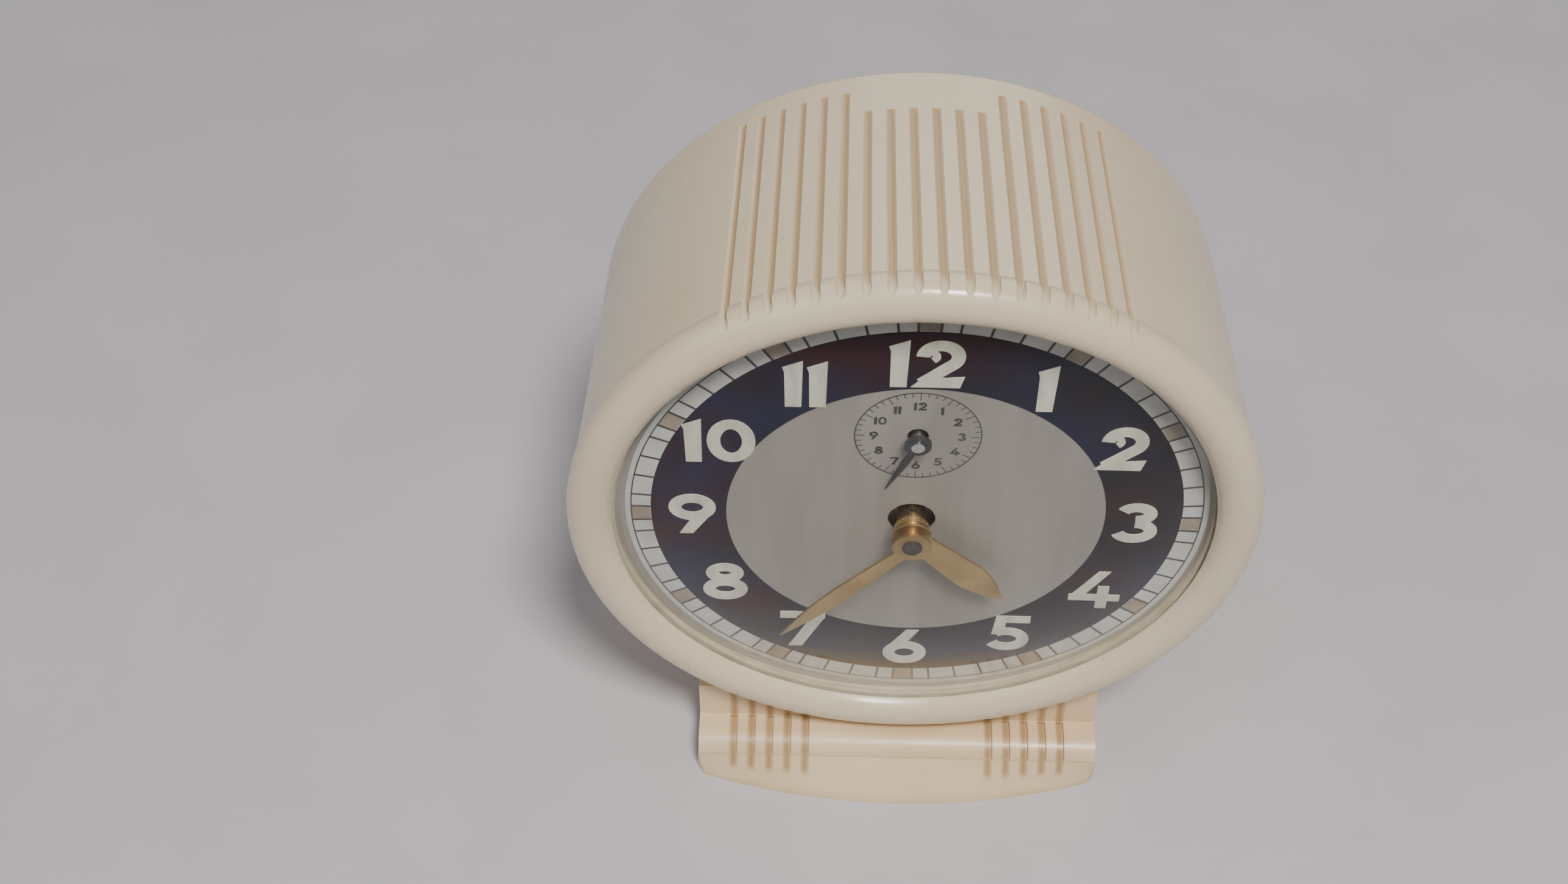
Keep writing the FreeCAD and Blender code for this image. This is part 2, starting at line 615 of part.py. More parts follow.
def movement_plate(label, depth, ears):
    body = new_body(label)
    sketch = draw_circle(new_sketch(body, "XY_Plane", "-" + depth), "0", "0", "plate_radius")
    pad(body, sketch, "plate_thick")
    if ears:
        ear = draw_outline(new_sketch(body, "XY_Plane", "-" + depth),
                           [("-ear_half", "plate_radius - 3"), ("ear_half", "plate_radius - 3"),
                            ("ear_half", "plate_ear"), ("-ear_half", "plate_ear")])
        around(body, [pad(body, ear, "plate_thick")], len(LUG_BEARINGS))
        hole = draw_circle(new_sketch(body, "XY_Plane", "-" + depth), "0", "lug_circle", "lug_hole + 0.1")
        around(body, [pocket(body, hole, "plate_thick")], len(LUG_BEARINGS))
    holes = new_sketch(body, "XY_Plane", "-" + depth)
    for x, y, radius in ARBORS:
        draw_circle(holes, x, y, radius + " + arbor_play")
    for x, y in PIVOTS:
        draw_circle(holes, x, y, "pivot + pivot_play")
    draw_circle(holes, "hammer_x", "hammer_y", "arbor + arbor_play")
    for bearing in PILLAR_BEARINGS:
        draw_circle(holes, "pillar_circle * cos(%d deg)" % bearing, "pillar_circle * sin(%d deg)" % bearing,
                    "pillar_neck + 0.02")
    pocket(body, holes, "plate_thick")
    node(stand(body), label)


def compound(label, pieces):
    group = doc.addObject("Part::Compound", label)
    group.Links = pieces
    return node(group, label)


def pillars_and_nuts():
    pillars = []
    nuts = []
    for bearing in PILLAR_BEARINGS:
        x = "pillar_circle * cos(%d deg)" % bearing
        y = "pillar_circle * sin(%d deg)" % bearing
        body = new_body("pillar")
        revolve(body, spindle([("pillar_neck", "front_plate - nut_high", "front_plate + plate_thick"),
                               ("pillar_round", "front_plate + plate_thick", "rear_plate"),
                               ("pillar_neck", "rear_plate", "rear_plate + plate_thick + nut_high")]))
        pillars.append(stand(body, x, y))
        for front in ("front_plate - nut_high", "rear_plate + plate_thick"):
            nut = doc.addObject("Part::Prism", "pillar_nut")
            nut.Polygon = 6
            bind(nut, "Circumradius", "nut_round")
            bind(nut, "Height", "nut_high")
            bore = doc.addObject("Part::Cylinder", "pillar_nut_bore")
            bind(bore, "Radius", "pillar_neck")
            bind(bore, "Height", "nut_high")
            for item in (nut, bore):
                stand(item, x, y, front + " + nut_high")
            ring = doc.addObject("Part::Cut", "pillar_nut_ring")
            ring.Base = nut
            ring.Tool = bore
            nuts.append(ring)
    compound("movement_pillars", pillars)
    compound("pillar_nuts", nuts)


def lug_screws(label, head_front, head_rear, tip):
    """Three cheese-head screws into the case lugs, driven from the rear."""
    screws = []
    for bearing in LUG_BEARINGS:
        body = new_body("lug_screw")
        revolve(body, spindle([("lug_hole", tip, head_front), ("2 * lug_hole", head_front, head_rear)]))
        slot = draw_outline(new_sketch(body, "XY_Plane", "-(%s - 0.7)" % head_rear),
                            [("-2.5 * lug_hole", "-screw_slot"), ("2.5 * lug_hole", "-screw_slot"),
                             ("2.5 * lug_hole", "screw_slot"), ("-2.5 * lug_hole", "screw_slot")])
        pocket(body, slot, "1")
        screws.append(stand(body, "lug_circle * cos(%d deg)" % bearing, "lug_circle * sin(%d deg)" % bearing))
    compound(label, screws)


# ---------------------------------------------------------------- motion work, hands and arbors

# teeth, module, front and rear depth of each wheel and pinion of the two trains
GEARS = {
    "time_great": (72, 0.45, 15.3, 16.5), "centre_pinion": (12, 0.45, 14.9, 17.0),
    "centre": (60, 0.4, 31.0, 32.2), "third_pinion": (8, 0.4, 30.4, 32.6),
    "third": (56, 0.35, 17.3, 18.3), "fourth_pinion": (7, 0.35, 16.8, 18.8),
    "fourth": (60, 0.3, 24.0, 25.0), "escape_pinion": (6, 0.3, 23.4, 25.6),
    "alarm_great": (72, 0.45, 15.3, 16.5), "star_pinion": (9, 0.45, 14.9, 17.0),
}


def gear(name, turn):
    """One toothed disc from the table."""
    teeth, module, front, rear = GEARS[name]
    return toothed(teeth, module, front, rear, turn)


def meshed(driver, driver_turn, follower, bearing):
    """The turn that puts one gear of the table in mesh with another."""
    return mesh_turn(driver_turn, GEARS[driver][0], GEARS[follower][0], bearing)


def wheel(name, x, y, turn, bore=0.0, hub=2.5, extras=()):
    """A crossed-out wheel with its pinion or arbor fused on, bored if it runs on another arbor."""
    teeth, module, front, rear = GEARS[name]
    shape = spoked(gear(name, turn), teeth, module, front, rear, hub, spokes=4)
    for extra in extras:
        shape = shape.fuse(extra)
    if bore:
        shape = shape.cut(through_hole(bore))
    return solid_piece(name + "_wheel", shape.removeSplitter(), x, y)


def through_hole(radius):
    """A tool longer than the whole clock."""
    return cylinder(radius, -20, 80)


def motion_work():
    cannon_teeth, idler_teeth, idler_pinion, hour_teeth = 12, 36, 10, 40
    centres = math.hypot(size("idler_x"), size("idler_y"))
    first_module = 2 * centres / (cannon_teeth + idler_teeth)
    second_module = 2 * centres / (idler_pinion + hour_teeth)
    out = bearing_of("0", "0", "idler_x", "idler_y")
    cannon_front, cannon_back = size("cannon_front"), size("cannon_back")
    cannon = toothed(cannon_teeth, first_module, cannon_front, cannon_back, 0)
    cannon = cannon.fuse(cylinder(size("cannon_round"), size("minute_front"), cannon_back + 0.2))
    solid_piece("cannon_pinion", cannon.cut(through_hole(size("arbor"))))
    idler_front = size("idler_front")
    idler = toothed(idler_teeth, first_module, idler_front, size("idler_back"),
                    mesh_turn(0, cannon_teeth, idler_teeth, out))
    pinion_turn = 0.0
    idler = idler.fuse(
        toothed(idler_pinion, second_module, size("idler_pinion_front"), idler_front, pinion_turn))
    idler = idler.cut(through_hole(size("pivot + pivot_play + 0.2")))
    solid_piece("minute_wheel", idler, "idler_x", "idler_y")
    wheel_front, wheel_back = size("hour_wheel_front"), size("hour_wheel_back")
    hour_turn = mesh_turn(pinion_turn, idler_pinion, hour_teeth, out + 180)
    hour = toothed(hour_teeth, second_module, wheel_front, wheel_back, hour_turn)
    hour = hour.fuse(cylinder(size("hour_pipe"), size("hour_front + hand_thick"), wheel_back))
    hour = hour.fuse(cylinder(size("hour_collar"), size("collar_front"), size("collar_back")))
    hour = hour.cut(through_hole(size("cannon_round + arbor_play")))
    solid_piece("hour_wheel", hour.removeSplitter())
    alarm_turn = mesh_turn(hour_turn, hour_teeth, hour_teeth, 90)
    alarm = toothed(hour_teeth, second_module, wheel_front, wheel_back, alarm_turn)
    alarm = alarm.fuse(cylinder(size("alarm_pipe"), size("alarm_pipe_front"), wheel_back))
    notch = size("alarm_notch")
    corner = Vector(size("alarm_pipe") / 2, -notch / 2, -wheel_front)
    cam_notch = Part.makeBox(notch, notch, wheel_front, corner)
    alarm = alarm.cut(through_hole(size("arbor + arbor_play")))
    solid_piece("alarm_wheel", alarm.cut(cam_notch), "0", "alarm_up")
    turned_piece("minute_wheel_post", spindle([("pivot + 0.2", "alarm_pipe_front", "front_plate")]),
                 "idler_x", "idler_y")


def hand(label, front, boss, bore, blade, turn, y="0", arcs=None):
    """A flat hand: a round boss and a blade drawn pointing up, then turned to its rest angle."""
    body = new_body(label)
    outline = draw_outline(new_sketch(body, "XY_Plane", "-(%s)" % front), blade, arcs)
    pad(body, outline, "hand_thick")
    disc = draw_circle(new_sketch(body, "XY_Plane", "-(%s)" % front), "0", "0", boss)
    pad(body, disc, "hand_thick")
    hole = draw_circle(new_sketch(body, "XY_Plane", "-(%s)" % front), "0", "0", bore)
    pocket(body, hole, "hand_thick")
    return node(stand(body, "0", y, turn=size(turn)), label)


def lance(long, wide, root, widest):
    """A lance blade: narrow at the boss, widest part-way, pointed at the tip."""
    return [("-(%s)" % root, "1"), (root, "1"), (wide, "%s * %s" % (long, widest)), ("0", long),
            ("-(%s)" % wide, "%s * %s" % (long, widest))]


def hands():
    hand("minute_hand", "minute_front - hand_thick", "minute_boss", "arbor",
         lance("minute_long", "minute_wide", "minute_wide * 0.7", "0.5"), "minute_angle",
         arcs={2: "-80", 3: "-80"})
    hand("hour_hand", "hour_front", "hour_boss", "cannon_round + arbor_play",
         lance("hour_long", "hour_wide", "hour_wide * 0.7", "0.62"), "hour_angle",
         arcs={2: "-20", 3: "-20"})
    hand("alarm_hand", "alarm_hand_front", "alarm_boss", "arbor",
         lance("alarm_hand_long", "alarm_hand_wide", "alarm_hand_wide * 0.8", "0.4"), "alarm_angle",
         "alarm_up")
    turned_piece("minute_hand_cap", [("0", "arbor_tip - 0.1"), ("1.2", "arbor_tip - 0.1"),
                                     ("1.55", "arbor_tip + 0.2"), ("1.55", "minute_front - hand_thick"),
                                     ("arbor", "minute_front - hand_thick"), ("arbor", "arbor_tip + 0.3"),
                                     ("0", "arbor_tip + 0.3")])


SHOULDER = "front_plate + plate_thick + 0.1"
KNOB_SEAT = "knob_front + 1.5"
KNOB_END = "knob_back - 1"


def centre_arbor():
    turned_piece("centre_arbor", spindle([
        ("arbor", "arbor_tip + 0.3", SHOULDER), ("arbor + 0.7", SHOULDER, SHOULDER + " + 0.2"),
        ("arbor", SHOULDER + " + 0.2", KNOB_SEAT), ("arbor * 0.8", KNOB_SEAT, KNOB_END)]))


def alarm_arbor():
    turned_piece("alarm_arbor", spindle([
        ("arbor", "alarm_hand_front - 0.4", SHOULDER + " + 0.1"),
        ("arbor + 0.7", SHOULDER + " + 0.1", SHOULDER + " + 0.9"),
        ("arbor", SHOULDER + " + 0.9", KNOB_SEAT), ("arbor * 0.8", KNOB_SEAT, KNOB_END)]), "0", "alarm_up")


def knob(label, y):
    """A knurled setting knob on the rear end of an arbor."""
    body = new_body(label)
    revolve(body, [("0", KNOB_END), ("arbor * 0.8", KNOB_END), ("arbor * 0.8", KNOB_SEAT),
                   ("arbor", KNOB_SEAT), ("arbor", "knob_front"), ("knob_round / 2", "knob_front"),
                   ("knob_round / 2", "knob_front + 1.2"),
                   ("knob_round", "knob_front + 1.8"), ("knob_round", "knob_back - 0.8"),
                   ("knob_round - 0.8", "knob_back"), ("0", "knob_back")])
    notch = draw_circle(new_sketch(body, "XY_Plane", "-(knob_front + 1)"),
                        "0", "knob_round + 0.15", "knob_groove")
    around(body, [pocket(body, notch, "knob_back - knob_front")], 18)
    node(stand(body, "0", y), label)


def winding_key(label, x, y):
    """A butterfly key on a winding arbor."""
    body = new_body(label)
    revolve(body, [("0", "key_neck"), ("key_tang", "key_neck"), ("key_tang", "knob_front"),
                   ("key_hub", "knob_front"), ("key_hub", "key_hub_end"), ("0", "key_hub_end")])
    wing = draw_outline(
        new_sketch(body, "XZ_Plane"),
        [("-key_hub * 0.8", "-(key_hub_end - 1.5)"), ("-key_half", "-(key_hub_end - 0.5)"),
         ("-key_half", "-(key_end - 1.6)"), ("-key_half * 0.7", "-key_end"), ("0", "-(key_end - key_notch)"),
         ("key_half * 0.7", "-key_end"), ("key_half", "-(key_end - 1.6)"),
         ("key_half", "-(key_hub_end - 0.5)"), ("key_hub * 0.8", "-(key_hub_end - 1.5)")])
    pad(body, wing, "key_thick", centred=True)
    node(stand(body, x, y, turn=20), label)


# ---------------------------------------------------------------- going and alarm trains

def winding_arbor(label, x, y):
    behind_ratchet = "ratchet_front + ratchet_thick + 0.2"
    turned_piece(label, spindle([("winding_front", "front_plate - 0.6", "front_plate"),
                                 ("winding_arbor", "front_plate", behind_ratchet),
                                 ("winding_rear", behind_ratchet, "knob_front"),
                                 ("key_tang", "knob_front", "key_neck")]), x, y)


def spiral(label, x, y, spring):
    """A flat coiled strip whose coils grow evenly from its inner to its outer radius."""
    steps = 24
    front, rear = spring["front"], spring["rear"]
    pitch = (spring["outer"] - spring["inner"]) / spring["turns"]
    edges = []
    for side in (0.0, spring["strip"]):
        points = []
        for number in range(spring["turns"] * steps + 1):
            angle = 2 * math.pi * number / steps
            radius = spring["inner"] + side + pitch * number / steps
            points.append(Vector(radius * math.cos(angle), radius * math.sin(angle), -rear))
        curve = Part.BSplineCurve()
        curve.interpolate(points)
        edges.append(curve.toShape())
    first, second = edges
    caps = [Part.makeLine(first.lastVertex().Point, second.lastVertex().Point),
            Part.makeLine(second.firstVertex().Point, first.firstVertex().Point)]
    ribbon = Part.Face(Part.Wire(Part.sortEdges([first, second] + caps)[0]))
    return solid_piece(label, ribbon.extrude(Vector(0, 0, rear - front)), x, y)


def ratchet(label, x, y):
    """A saw-toothed wheel squared to a winding arbor behind the rear plate."""
    teeth, root, tip, undercut = 16, 5.0, 6.0, 0.08
    points = []
    for number in range(teeth):
        angle = 2 * math.pi * number / teeth
        points.append(Vector(tip * math.cos(angle), tip * math.sin(angle), 0))
        back = angle + undercut
        points.append(Vector(root * math.cos(back), root * math.sin(back), 0))
    disc = Part.Face(Part.makePolygon(points + points[:1])).extrude(Vector(0, 0, size("ratchet_thick")))
    disc.translate(Vector(0, 0, -size("ratchet_front + ratchet_thick")))
    return solid_piece(label, disc.cut(through_hole(size("winding_arbor"))), x, y)


def click(label, x, y, bearing):
    """The pawl that stops a ratchet, its tip riding on the teeth, and its pin behind the rear plate."""
    body = new_body(label)
    root = "(click_boss - 0.4)"
    blade = draw_outline(new_sketch(body, "XY_Plane", "-ratchet_front"),
                         [("-" + root, "0"), (root, "0"), ("0.5", "click_long - 0.4"), ("-0.6", "click_long")])
    pad(body, blade, "ratchet_thick")
    disc = draw_circle(new_sketch(body, "XY_Plane", "-ratchet_front"), "0", "0", "click_boss")
    pad(body, disc, "ratchet_thick")
    hole = draw_circle(new_sketch(body, "XY_Plane", "-ratchet_front"), "0", "0", "click_pin + arbor_play")
    pocket(body, hole, "ratchet_thick")
    place_x = "(%s) + click_out * cos(%d deg)" % (x, bearing)
    place_y = "(%s) + click_out * sin(%d deg)" % (y, bearing)
    reach = bearing + 180 - size("click_turn")
    node(stand(body, place_x, place_y, turn=90 - reach), label)
    pin = new_body(label + "_pin")
    head = "ratchet_front + ratchet_thick + 0.2"
    revolve(pin, spindle([("click_pin", "rear_plate + plate_thick", head),
                          ("click_pin_head", head, head + " + 0.7")]))
    return stand(pin, place_x, place_y)


def train_arbor(radius):
    """An arbor standing between the plates with its two pivots."""
    front = size("front_plate + plate_thick + end_shake")
    return cylinder(radius, front, size("rear_plate - end_shake")).fuse(pivots())


def great_wheel(name, x, y):
    """A great wheel, loose on its winding arbor."""
    wheel(name, x, y, 0, bore=size("winding_arbor + arbor_play"), hub=5)


def going_train():
    great_wheel("time_great", "time_x", "time_y")
    out = bearing_of("time_x", "time_y", "0", "0")
    pinion = gear("centre_pinion", meshed("time_great", 0, "centre_pinion", out))
    pipe = cylinder(size("arbor") + 0.9, GEARS["centre_pinion"][3] - 0.1, GEARS["centre"][2] + 0.1)
    to_third = bearing_of("0", "0", "third_x", "third_y")
    wheel("centre", "0", "0", to_third, bore=size("arbor + arbor_play"), hub=3, extras=(pinion, pipe))
    pinion = gear("third_pinion", meshed("centre", to_third, "third_pinion", to_third))
    to_fourth = bearing_of("third_x", "third_y", "fourth_x", "fourth_y")
    wheel("third", "third_x", "third_y", to_fourth, extras=(pinion, train_arbor(0.9)))
    pinion = gear("fourth_pinion", meshed("third", to_fourth, "fourth_pinion", to_fourth))
    to_escape = bearing_of("fourth_x", "fourth_y", "escape_x", "escape_y")
    wheel("fourth", "fourth_x", "fourth_y", to_escape, extras=(pinion, train_arbor(0.75)))
    pinion = gear("escape_pinion", meshed("fourth", to_escape, "escape_pinion", to_escape))
    escape = star_disc(15, 5.1, 6.4, *ESCAPE_DEPTHS).fuse(pinion).fuse(train_arbor(0.6))
    solid_piece("escape_wheel", escape.removeSplitter(), "escape_x", "escape_y")


def pivots():
    """The fine ends of an arbor, one in each plate."""
    return cylinder(size("pivot"), size("front_plate + 0.1"), size("rear_plate + plate_thick - 0.1"))


def star_disc(points_count, root, tip, front, rear):
    """A wheel of pointed teeth."""
    points = []
    for number in range(points_count):
        for part, radius in ((0.0, tip), (0.12, tip), (0.3, root), (0.85, root)):
            angle = 2 * math.pi * (number + part) / points_count
            points.append(Vector(radius * math.cos(angle), radius * math.sin(angle), 0))
    disc = Part.Face(Part.makePolygon(points + points[:1])).extrude(Vector(0, 0, rear - front))
    disc.translate(Vector(0, 0, -rear))
    return disc


ESCAPE_DEPTHS = (20, 20.9)
LEVER_FRONT, LEVER_REAR = 21.4, 22.4
PIN_CIRCLE, PIN_SPREAD = 7.25, 36
FORK_LONG, HORN_LONG = 8.3, 1.4


def lever_bar(length, width, x=0.0, y=0.0):
    """A bar of the pallet lever that starts at x and lies along it."""
    thick = LEVER_REAR - LEVER_FRONT
    return Part.makeBox(length, width, thick, Vector(x, y - width / 2, -LEVER_REAR))


def pallet_lever():
    """The lever that locks the escape wheel with two pins and swings the balance with a fork."""
    to_escape = bearing_of("pallet_x", "pallet_y", "escape_x", "escape_y")
    to_balance = bearing_of("pallet_x", "pallet_y", "balance_x", "balance_y")
    lever = cylinder(1.5, LEVER_FRONT, LEVER_REAR).fuse(train_arbor(0.7))
    fork = lever_bar(FORK_LONG, 1.2)
    for side in (-0.5, 0.5):
        fork = fork.fuse(lever_bar(HORN_LONG, 0.5, FORK_LONG - 0.2, side))
    fork.rotate(Vector(0, 0, 0), Vector(0, 0, 1), to_balance)
    lever = lever.fuse(fork)
    distance = math.hypot(size("escape_x - pallet_x"), size("escape_y - pallet_y"))
    for spread in (-PIN_SPREAD, PIN_SPREAD):
        reach_x = distance - PIN_CIRCLE * math.cos(math.radians(spread))
        reach_y = PIN_CIRCLE * math.sin(math.radians(spread))
        arm = lever_bar(math.hypot(reach_x, reach_y), 1.1)
        arm.rotate(Vector(0, 0, 0), Vector(0, 0, 1), math.degrees(math.atan2(reach_y, reach_x)) + to_escape)
        pin = cylinder(0.3, ESCAPE_DEPTHS[0] - 0.4, LEVER_REAR, reach_x, reach_y)
        pin.rotate(Vector(0, 0, 0), Vector(0, 0, 1), to_escape)
        lever = lever.fuse(arm).fuse(pin)
    solid_piece("pallet_lever", lever.removeSplitter(), "pallet_x", "pallet_y")


BALANCE = {"rim": 8.5, "rim_inner": 7.2, "front": 26, "rear": 28.2, "arm": 1.6, "hub": 1.7, "staff": 0.9,
           "roller": 1.5, "collet": 1.3}
HAIRSPRING = {"inner": 1.6, "outer": 5.4, "turns": 7, "front": 30.0, "rear": 30.7, "strip": 0.12}
MAINSPRING = {"inner": 3.2, "outer": 13.2, "turns": 9, "front": 19.6, "rear": 30, "strip": 0.45}


def balance():
    front, rear = BALANCE["front"], BALANCE["rear"]
    rim = cylinder(BALANCE["rim"], front, rear).cut(cylinder(BALANCE["rim_inner"], front - 1, rear + 1))
    reach = BALANCE["rim_inner"] + 0.5
    arm = Part.makeBox(2 * reach, BALANCE["arm"], 1.0, Vector(-reach, -BALANCE["arm"] / 2, 0.6 - rear))
    ring = rim.fuse(arm).fuse(cylinder(BALANCE["hub"], front, rear)).cut(through_hole(BALANCE["staff"]))
    solid_piece("balance_wheel", ring.removeSplitter(), "balance_x", "balance_y")
    roller = cylinder(BALANCE["roller"], LEVER_REAR + 0.8, LEVER_REAR + 1.6)
    collet = cylinder(BALANCE["collet"], HAIRSPRING["front"] - 0.4, HAIRSPRING["rear"] + 0.5)
    staff = train_arbor(BALANCE["staff"]).fuse(roller).fuse(collet)
    solid_piece("balance_staff", staff.removeSplitter(), "balance_x", "balance_y")
    spiral("hairspring", "balance_x", "balance_y", HAIRSPRING)


STAR_DEPTHS = (18.2, 19.2)


def alarm_train():
    great_wheel("alarm_great", "bell_x", "bell_y")
    out = bearing_of("bell_x", "bell_y", "star_x", "star_y")
    pinion = gear("star_pinion", meshed("alarm_great", 0, "star_pinion", out))
    star = star_disc(12, 4.3, 5.6, *STAR_DEPTHS).fuse(pinion).fuse(train_arbor(0.9))
    solid_piece("alarm_star_wheel", star.removeSplitter(), "star_x", "star_y")


def hammer():
    """The rocking hammer: an arbor with a verge beside the star wheel and an arm behind the plates."""
    inner_front = "front_plate + plate_thick + end_shake"
    inner_rear = "rear_plate - end_shake"
    turned_piece("hammer_arbor", spindle([
        ("arbor", "front_plate + 0.1", inner_front), ("hammer_arbor", inner_front, inner_rear),
        ("arbor", inner_rear, "hammer_arm_front + 1.8")]), "hammer_x", "hammer_y")
    to_star = bearing_of("hammer_x", "hammer_y", "star_x", "star_y")
    front, rear = STAR_DEPTHS[0] - 0.6, STAR_DEPTHS[1] + 0.4
    tongue_long, tongue_wide = 3.2, 1.2
    tongue = Part.makeBox(tongue_long, tongue_wide, rear - front, Vector(0, -tongue_wide / 2, -rear))
    verge = cylinder(2.2, front, rear).fuse(tongue)
    verge.rotate(Vector(0, 0, 0), Vector(0, 0, 1), to_star)
    verge = verge.cut(through_hole(size("hammer_arbor"))).removeSplitter()
    solid_piece("hammer_verge", verge, "hammer_x", "hammer_y")
    body = new_body("hammer")
    tip_half = "(hammer_half - 0.2)"
    arm = draw_outline(new_sketch(body, "XY_Plane", "-hammer_arm_front"),
                       [("-hammer_half", "0"), ("hammer_half", "0"), (tip_half, "hammer_long"),
                        ("-" + tip_half, "hammer_long")])
    pad(body, arm, "1.2")
    disc = draw_circle(new_sketch(body, "XY_Plane", "-(hammer_arm_front - 0.6)"), "0", "0", "hammer_hub")
    pad(body, disc, "2.4")
    head = draw_circle(new_sketch(body, "XY_Plane", "-hammer_head_front"), "0", "hammer_long", "hammer_head")
    pad(body, head, "hammer_head_long")
    hole = draw_circle(new_sketch(body, "XY_Plane", "-hammer_head_front"), "0", "0", "arbor")
    pocket(body, hole, "hammer_head_long")
    node(stand(body, "hammer_x", "hammer_y", turn=size("hammer_turn")), "hammer")


# ---------------------------------------------------------------- rear cover and its controls

VENT_COUNT, VENT_SPREAD = 9, 64


def rear_cover():
    body = new_body("cover")
    revolve(body, [("0", "cover_front"), ("cover_radius", "cover_front"),
                   ("cover_radius", "cover_front + cover_flange"),
                   ("cover_radius - cover_thick", "cover_front + cover_flange"),
                   ("cover_radius - cover_thick", "cover_front + cover_thick"),
                   ("0", "cover_front + cover_thick")])
    holes = new_sketch(body, "XY_Plane", "-(cover_front - 0.5)")
    for x, y in (("0", "0"), ("0", "alarm_up"), ("time_x", "time_y"), ("bell_x", "bell_y")):
        draw_circle(holes, x, y, "cover_hole")
    for bearing in LUG_BEARINGS:
        draw_circle(holes, "lug_circle * cos(%d deg)" % bearing, "lug_circle * sin(%d deg)" % bearing,
                    "lug_hole + 0.15")
    draw_outline(holes, [("regulator_left", "regulator_low"), ("regulator_right", "regulator_low"),
                         ("regulator_right", "regulator_high"), ("regulator_left", "regulator_high")])
    left, right = "stop_x - stop_slot_half", "stop_x + stop_slot_half"
    draw_outline(holes, [(left, "stop_low"), (right, "stop_low"), (right, "stop_high"), (left, "stop_high")])
    pocket(body, holes, "cover_thick + 1")
    vents = new_sketch(body, "XY_Plane", "-(cover_front - 0.5)")
    first_turn = Rotation(Vector(0, 0, 1), -VENT_SPREAD / 2)
    vents.AttachmentOffset = Placement(vents.AttachmentOffset.Base, first_turn)
    vent = draw_outline(vents,
                        [("-vent_half", "-vent_outer"), ("vent_half", "-vent_outer"),
                         ("vent_half", "-vent_inner"), ("-vent_half", "-vent_inner")])
    slot = pocket(body, vent, "cover_thick + 1")
    around(body, [slot], VENT_COUNT, VENT_SPREAD)
    node(stand(body), "bell_back_cover")


def regulator():
    """The fast-slow lever on a stud behind the balance, its tail out through the cover."""
    head = "regulator_depth + 1.3"
    turned_piece("regulator_stud", spindle([("regulator_stud", "rear_plate + plate_thick", head),
                                            ("regulator_stud + 0.8", head, head + " + 0.7")]),
                 "balance_x", "balance_y")
    body = new_body("regulator")
    pad(body, draw_circle(new_sketch(body, "XY_Plane", "-regulator_depth"), "0", "0", "3"), "1")
    arm = draw_outline(new_sketch(body, "XY_Plane", "-regulator_depth"),
                       [("-regulator_half", "0"), ("regulator_half", "0"),
                        ("regulator_half", "regulator_reach"), ("-regulator_half", "regulator_reach")])
    pad(body, arm, "1")
    tail = draw_circle(new_sketch(body, "XY_Plane", "-regulator_depth"),
                       "0", "regulator_reach", "regulator_half")
    pad(body, tail, "16")
    hole = draw_circle(new_sketch(body, "XY_Plane", "-(regulator_depth - 1)"), "0", "0",
                       "regulator_stud + arbor_play")
    pocket(body, hole, "4")
    node(stand(body, "balance_x", "balance_y"), "regulator_lever")


def stop_slide():
    """The alarm stop: a thumb slide in a slot of the cover."""
    body = new_body("stop")
    for half_x, half_y, front, rear in (("2.2", "3.4", "45", "46.2"), ("0.95", "1.6", "46", "48.4"),
                                        ("2", "2.6", "47.9", "50.4")):
        block = draw_outline(new_sketch(body, "XY_Plane", "-" + front),
                             [("-" + half_x, "-" + half_y), (half_x, "-" + half_y),
                              (half_x, half_y), ("-" + half_x, half_y)])
        pad(body, block, "%s - %s" % (rear, front))
    node(stand(body, "stop_x", "stop_y"), "alarm_stop_slide")


def build():
    case_shell()
    foot()
    foot_fasteners()
    front_glass()
    dial_and_spacer()
    movement_plate("movement_front_plate", "front_plate", True)
    movement_plate("movement_rear_plate", "rear_plate", False)
    pillars_and_nuts()
    lug_screws("movement_screws", "front_plate + plate_thick", "front_plate + plate_thick + 1.8",
               "front_lug_start + 0.4")
    motion_work()
    hands()
    centre_arbor()
    knob("hand_set_knob", "0")
    alarm_arbor()
    knob("alarm_set_knob", "alarm_up")
    pins = []
    for kind, x, y, bearing in (("time", "time_x", "time_y", 200), ("alarm", "bell_x", "bell_y", -25)):
        winding_arbor(kind + "_winding_arbor", x, y)
        ratchet(kind + "_ratchet", x, y)
        winding_key(kind + "_winding_key", x, y)
        pins.append(click(kind + "_click", x, y, bearing))
        spiral(kind + "_mainspring", x, y, MAINSPRING)
    compound("click_pins", pins)
    going_train()
    pallet_lever()
    balance()
    alarm_train()
    hammer()
    rear_cover()
    lug_screws("back_cover_screws", "cover_front + cover_thick", "cover_front + cover_thick + 1.7",
               "rear_lug_start + 1")
    regulator()
    stop_slide()


def write_parts():
    doc.recompute()
    for item in doc.Objects:
        if "Invalid" in item.State or "Error" in item.State:
            raise RuntimeError("%s (%s) did not compute: %s" % (item.Name, item.Label, item.State))
    for label, item in nodes.items():
        shape = item.Shape
        if shape.isNull() or not shape.isValid() or not shape.Solids:
            raise RuntimeError("%s has no valid solid" % label)
    os.makedirs("parts", exist_ok=True)
    for label, item in nodes.items():
        item.Shape.exportStep("parts/%s.step" % label)
        box = item.Shape.BoundBox
        print("%-24s %2d solid(s) %9.1f mm3  x %6.1f %6.1f  y %6.1f %6.1f  z %6.1f %6.1f" % (
            label, len(item.Shape.Solids), item.Shape.Volume,
            box.XMin, box.XMax, box.YMin, box.YMax, box.ZMin, box.ZMax))


build()
write_parts()
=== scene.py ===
import json
import math

import bpy
from mathutils import Matrix, Vector
from mathutils.geometry import delaunay_2d_cdt


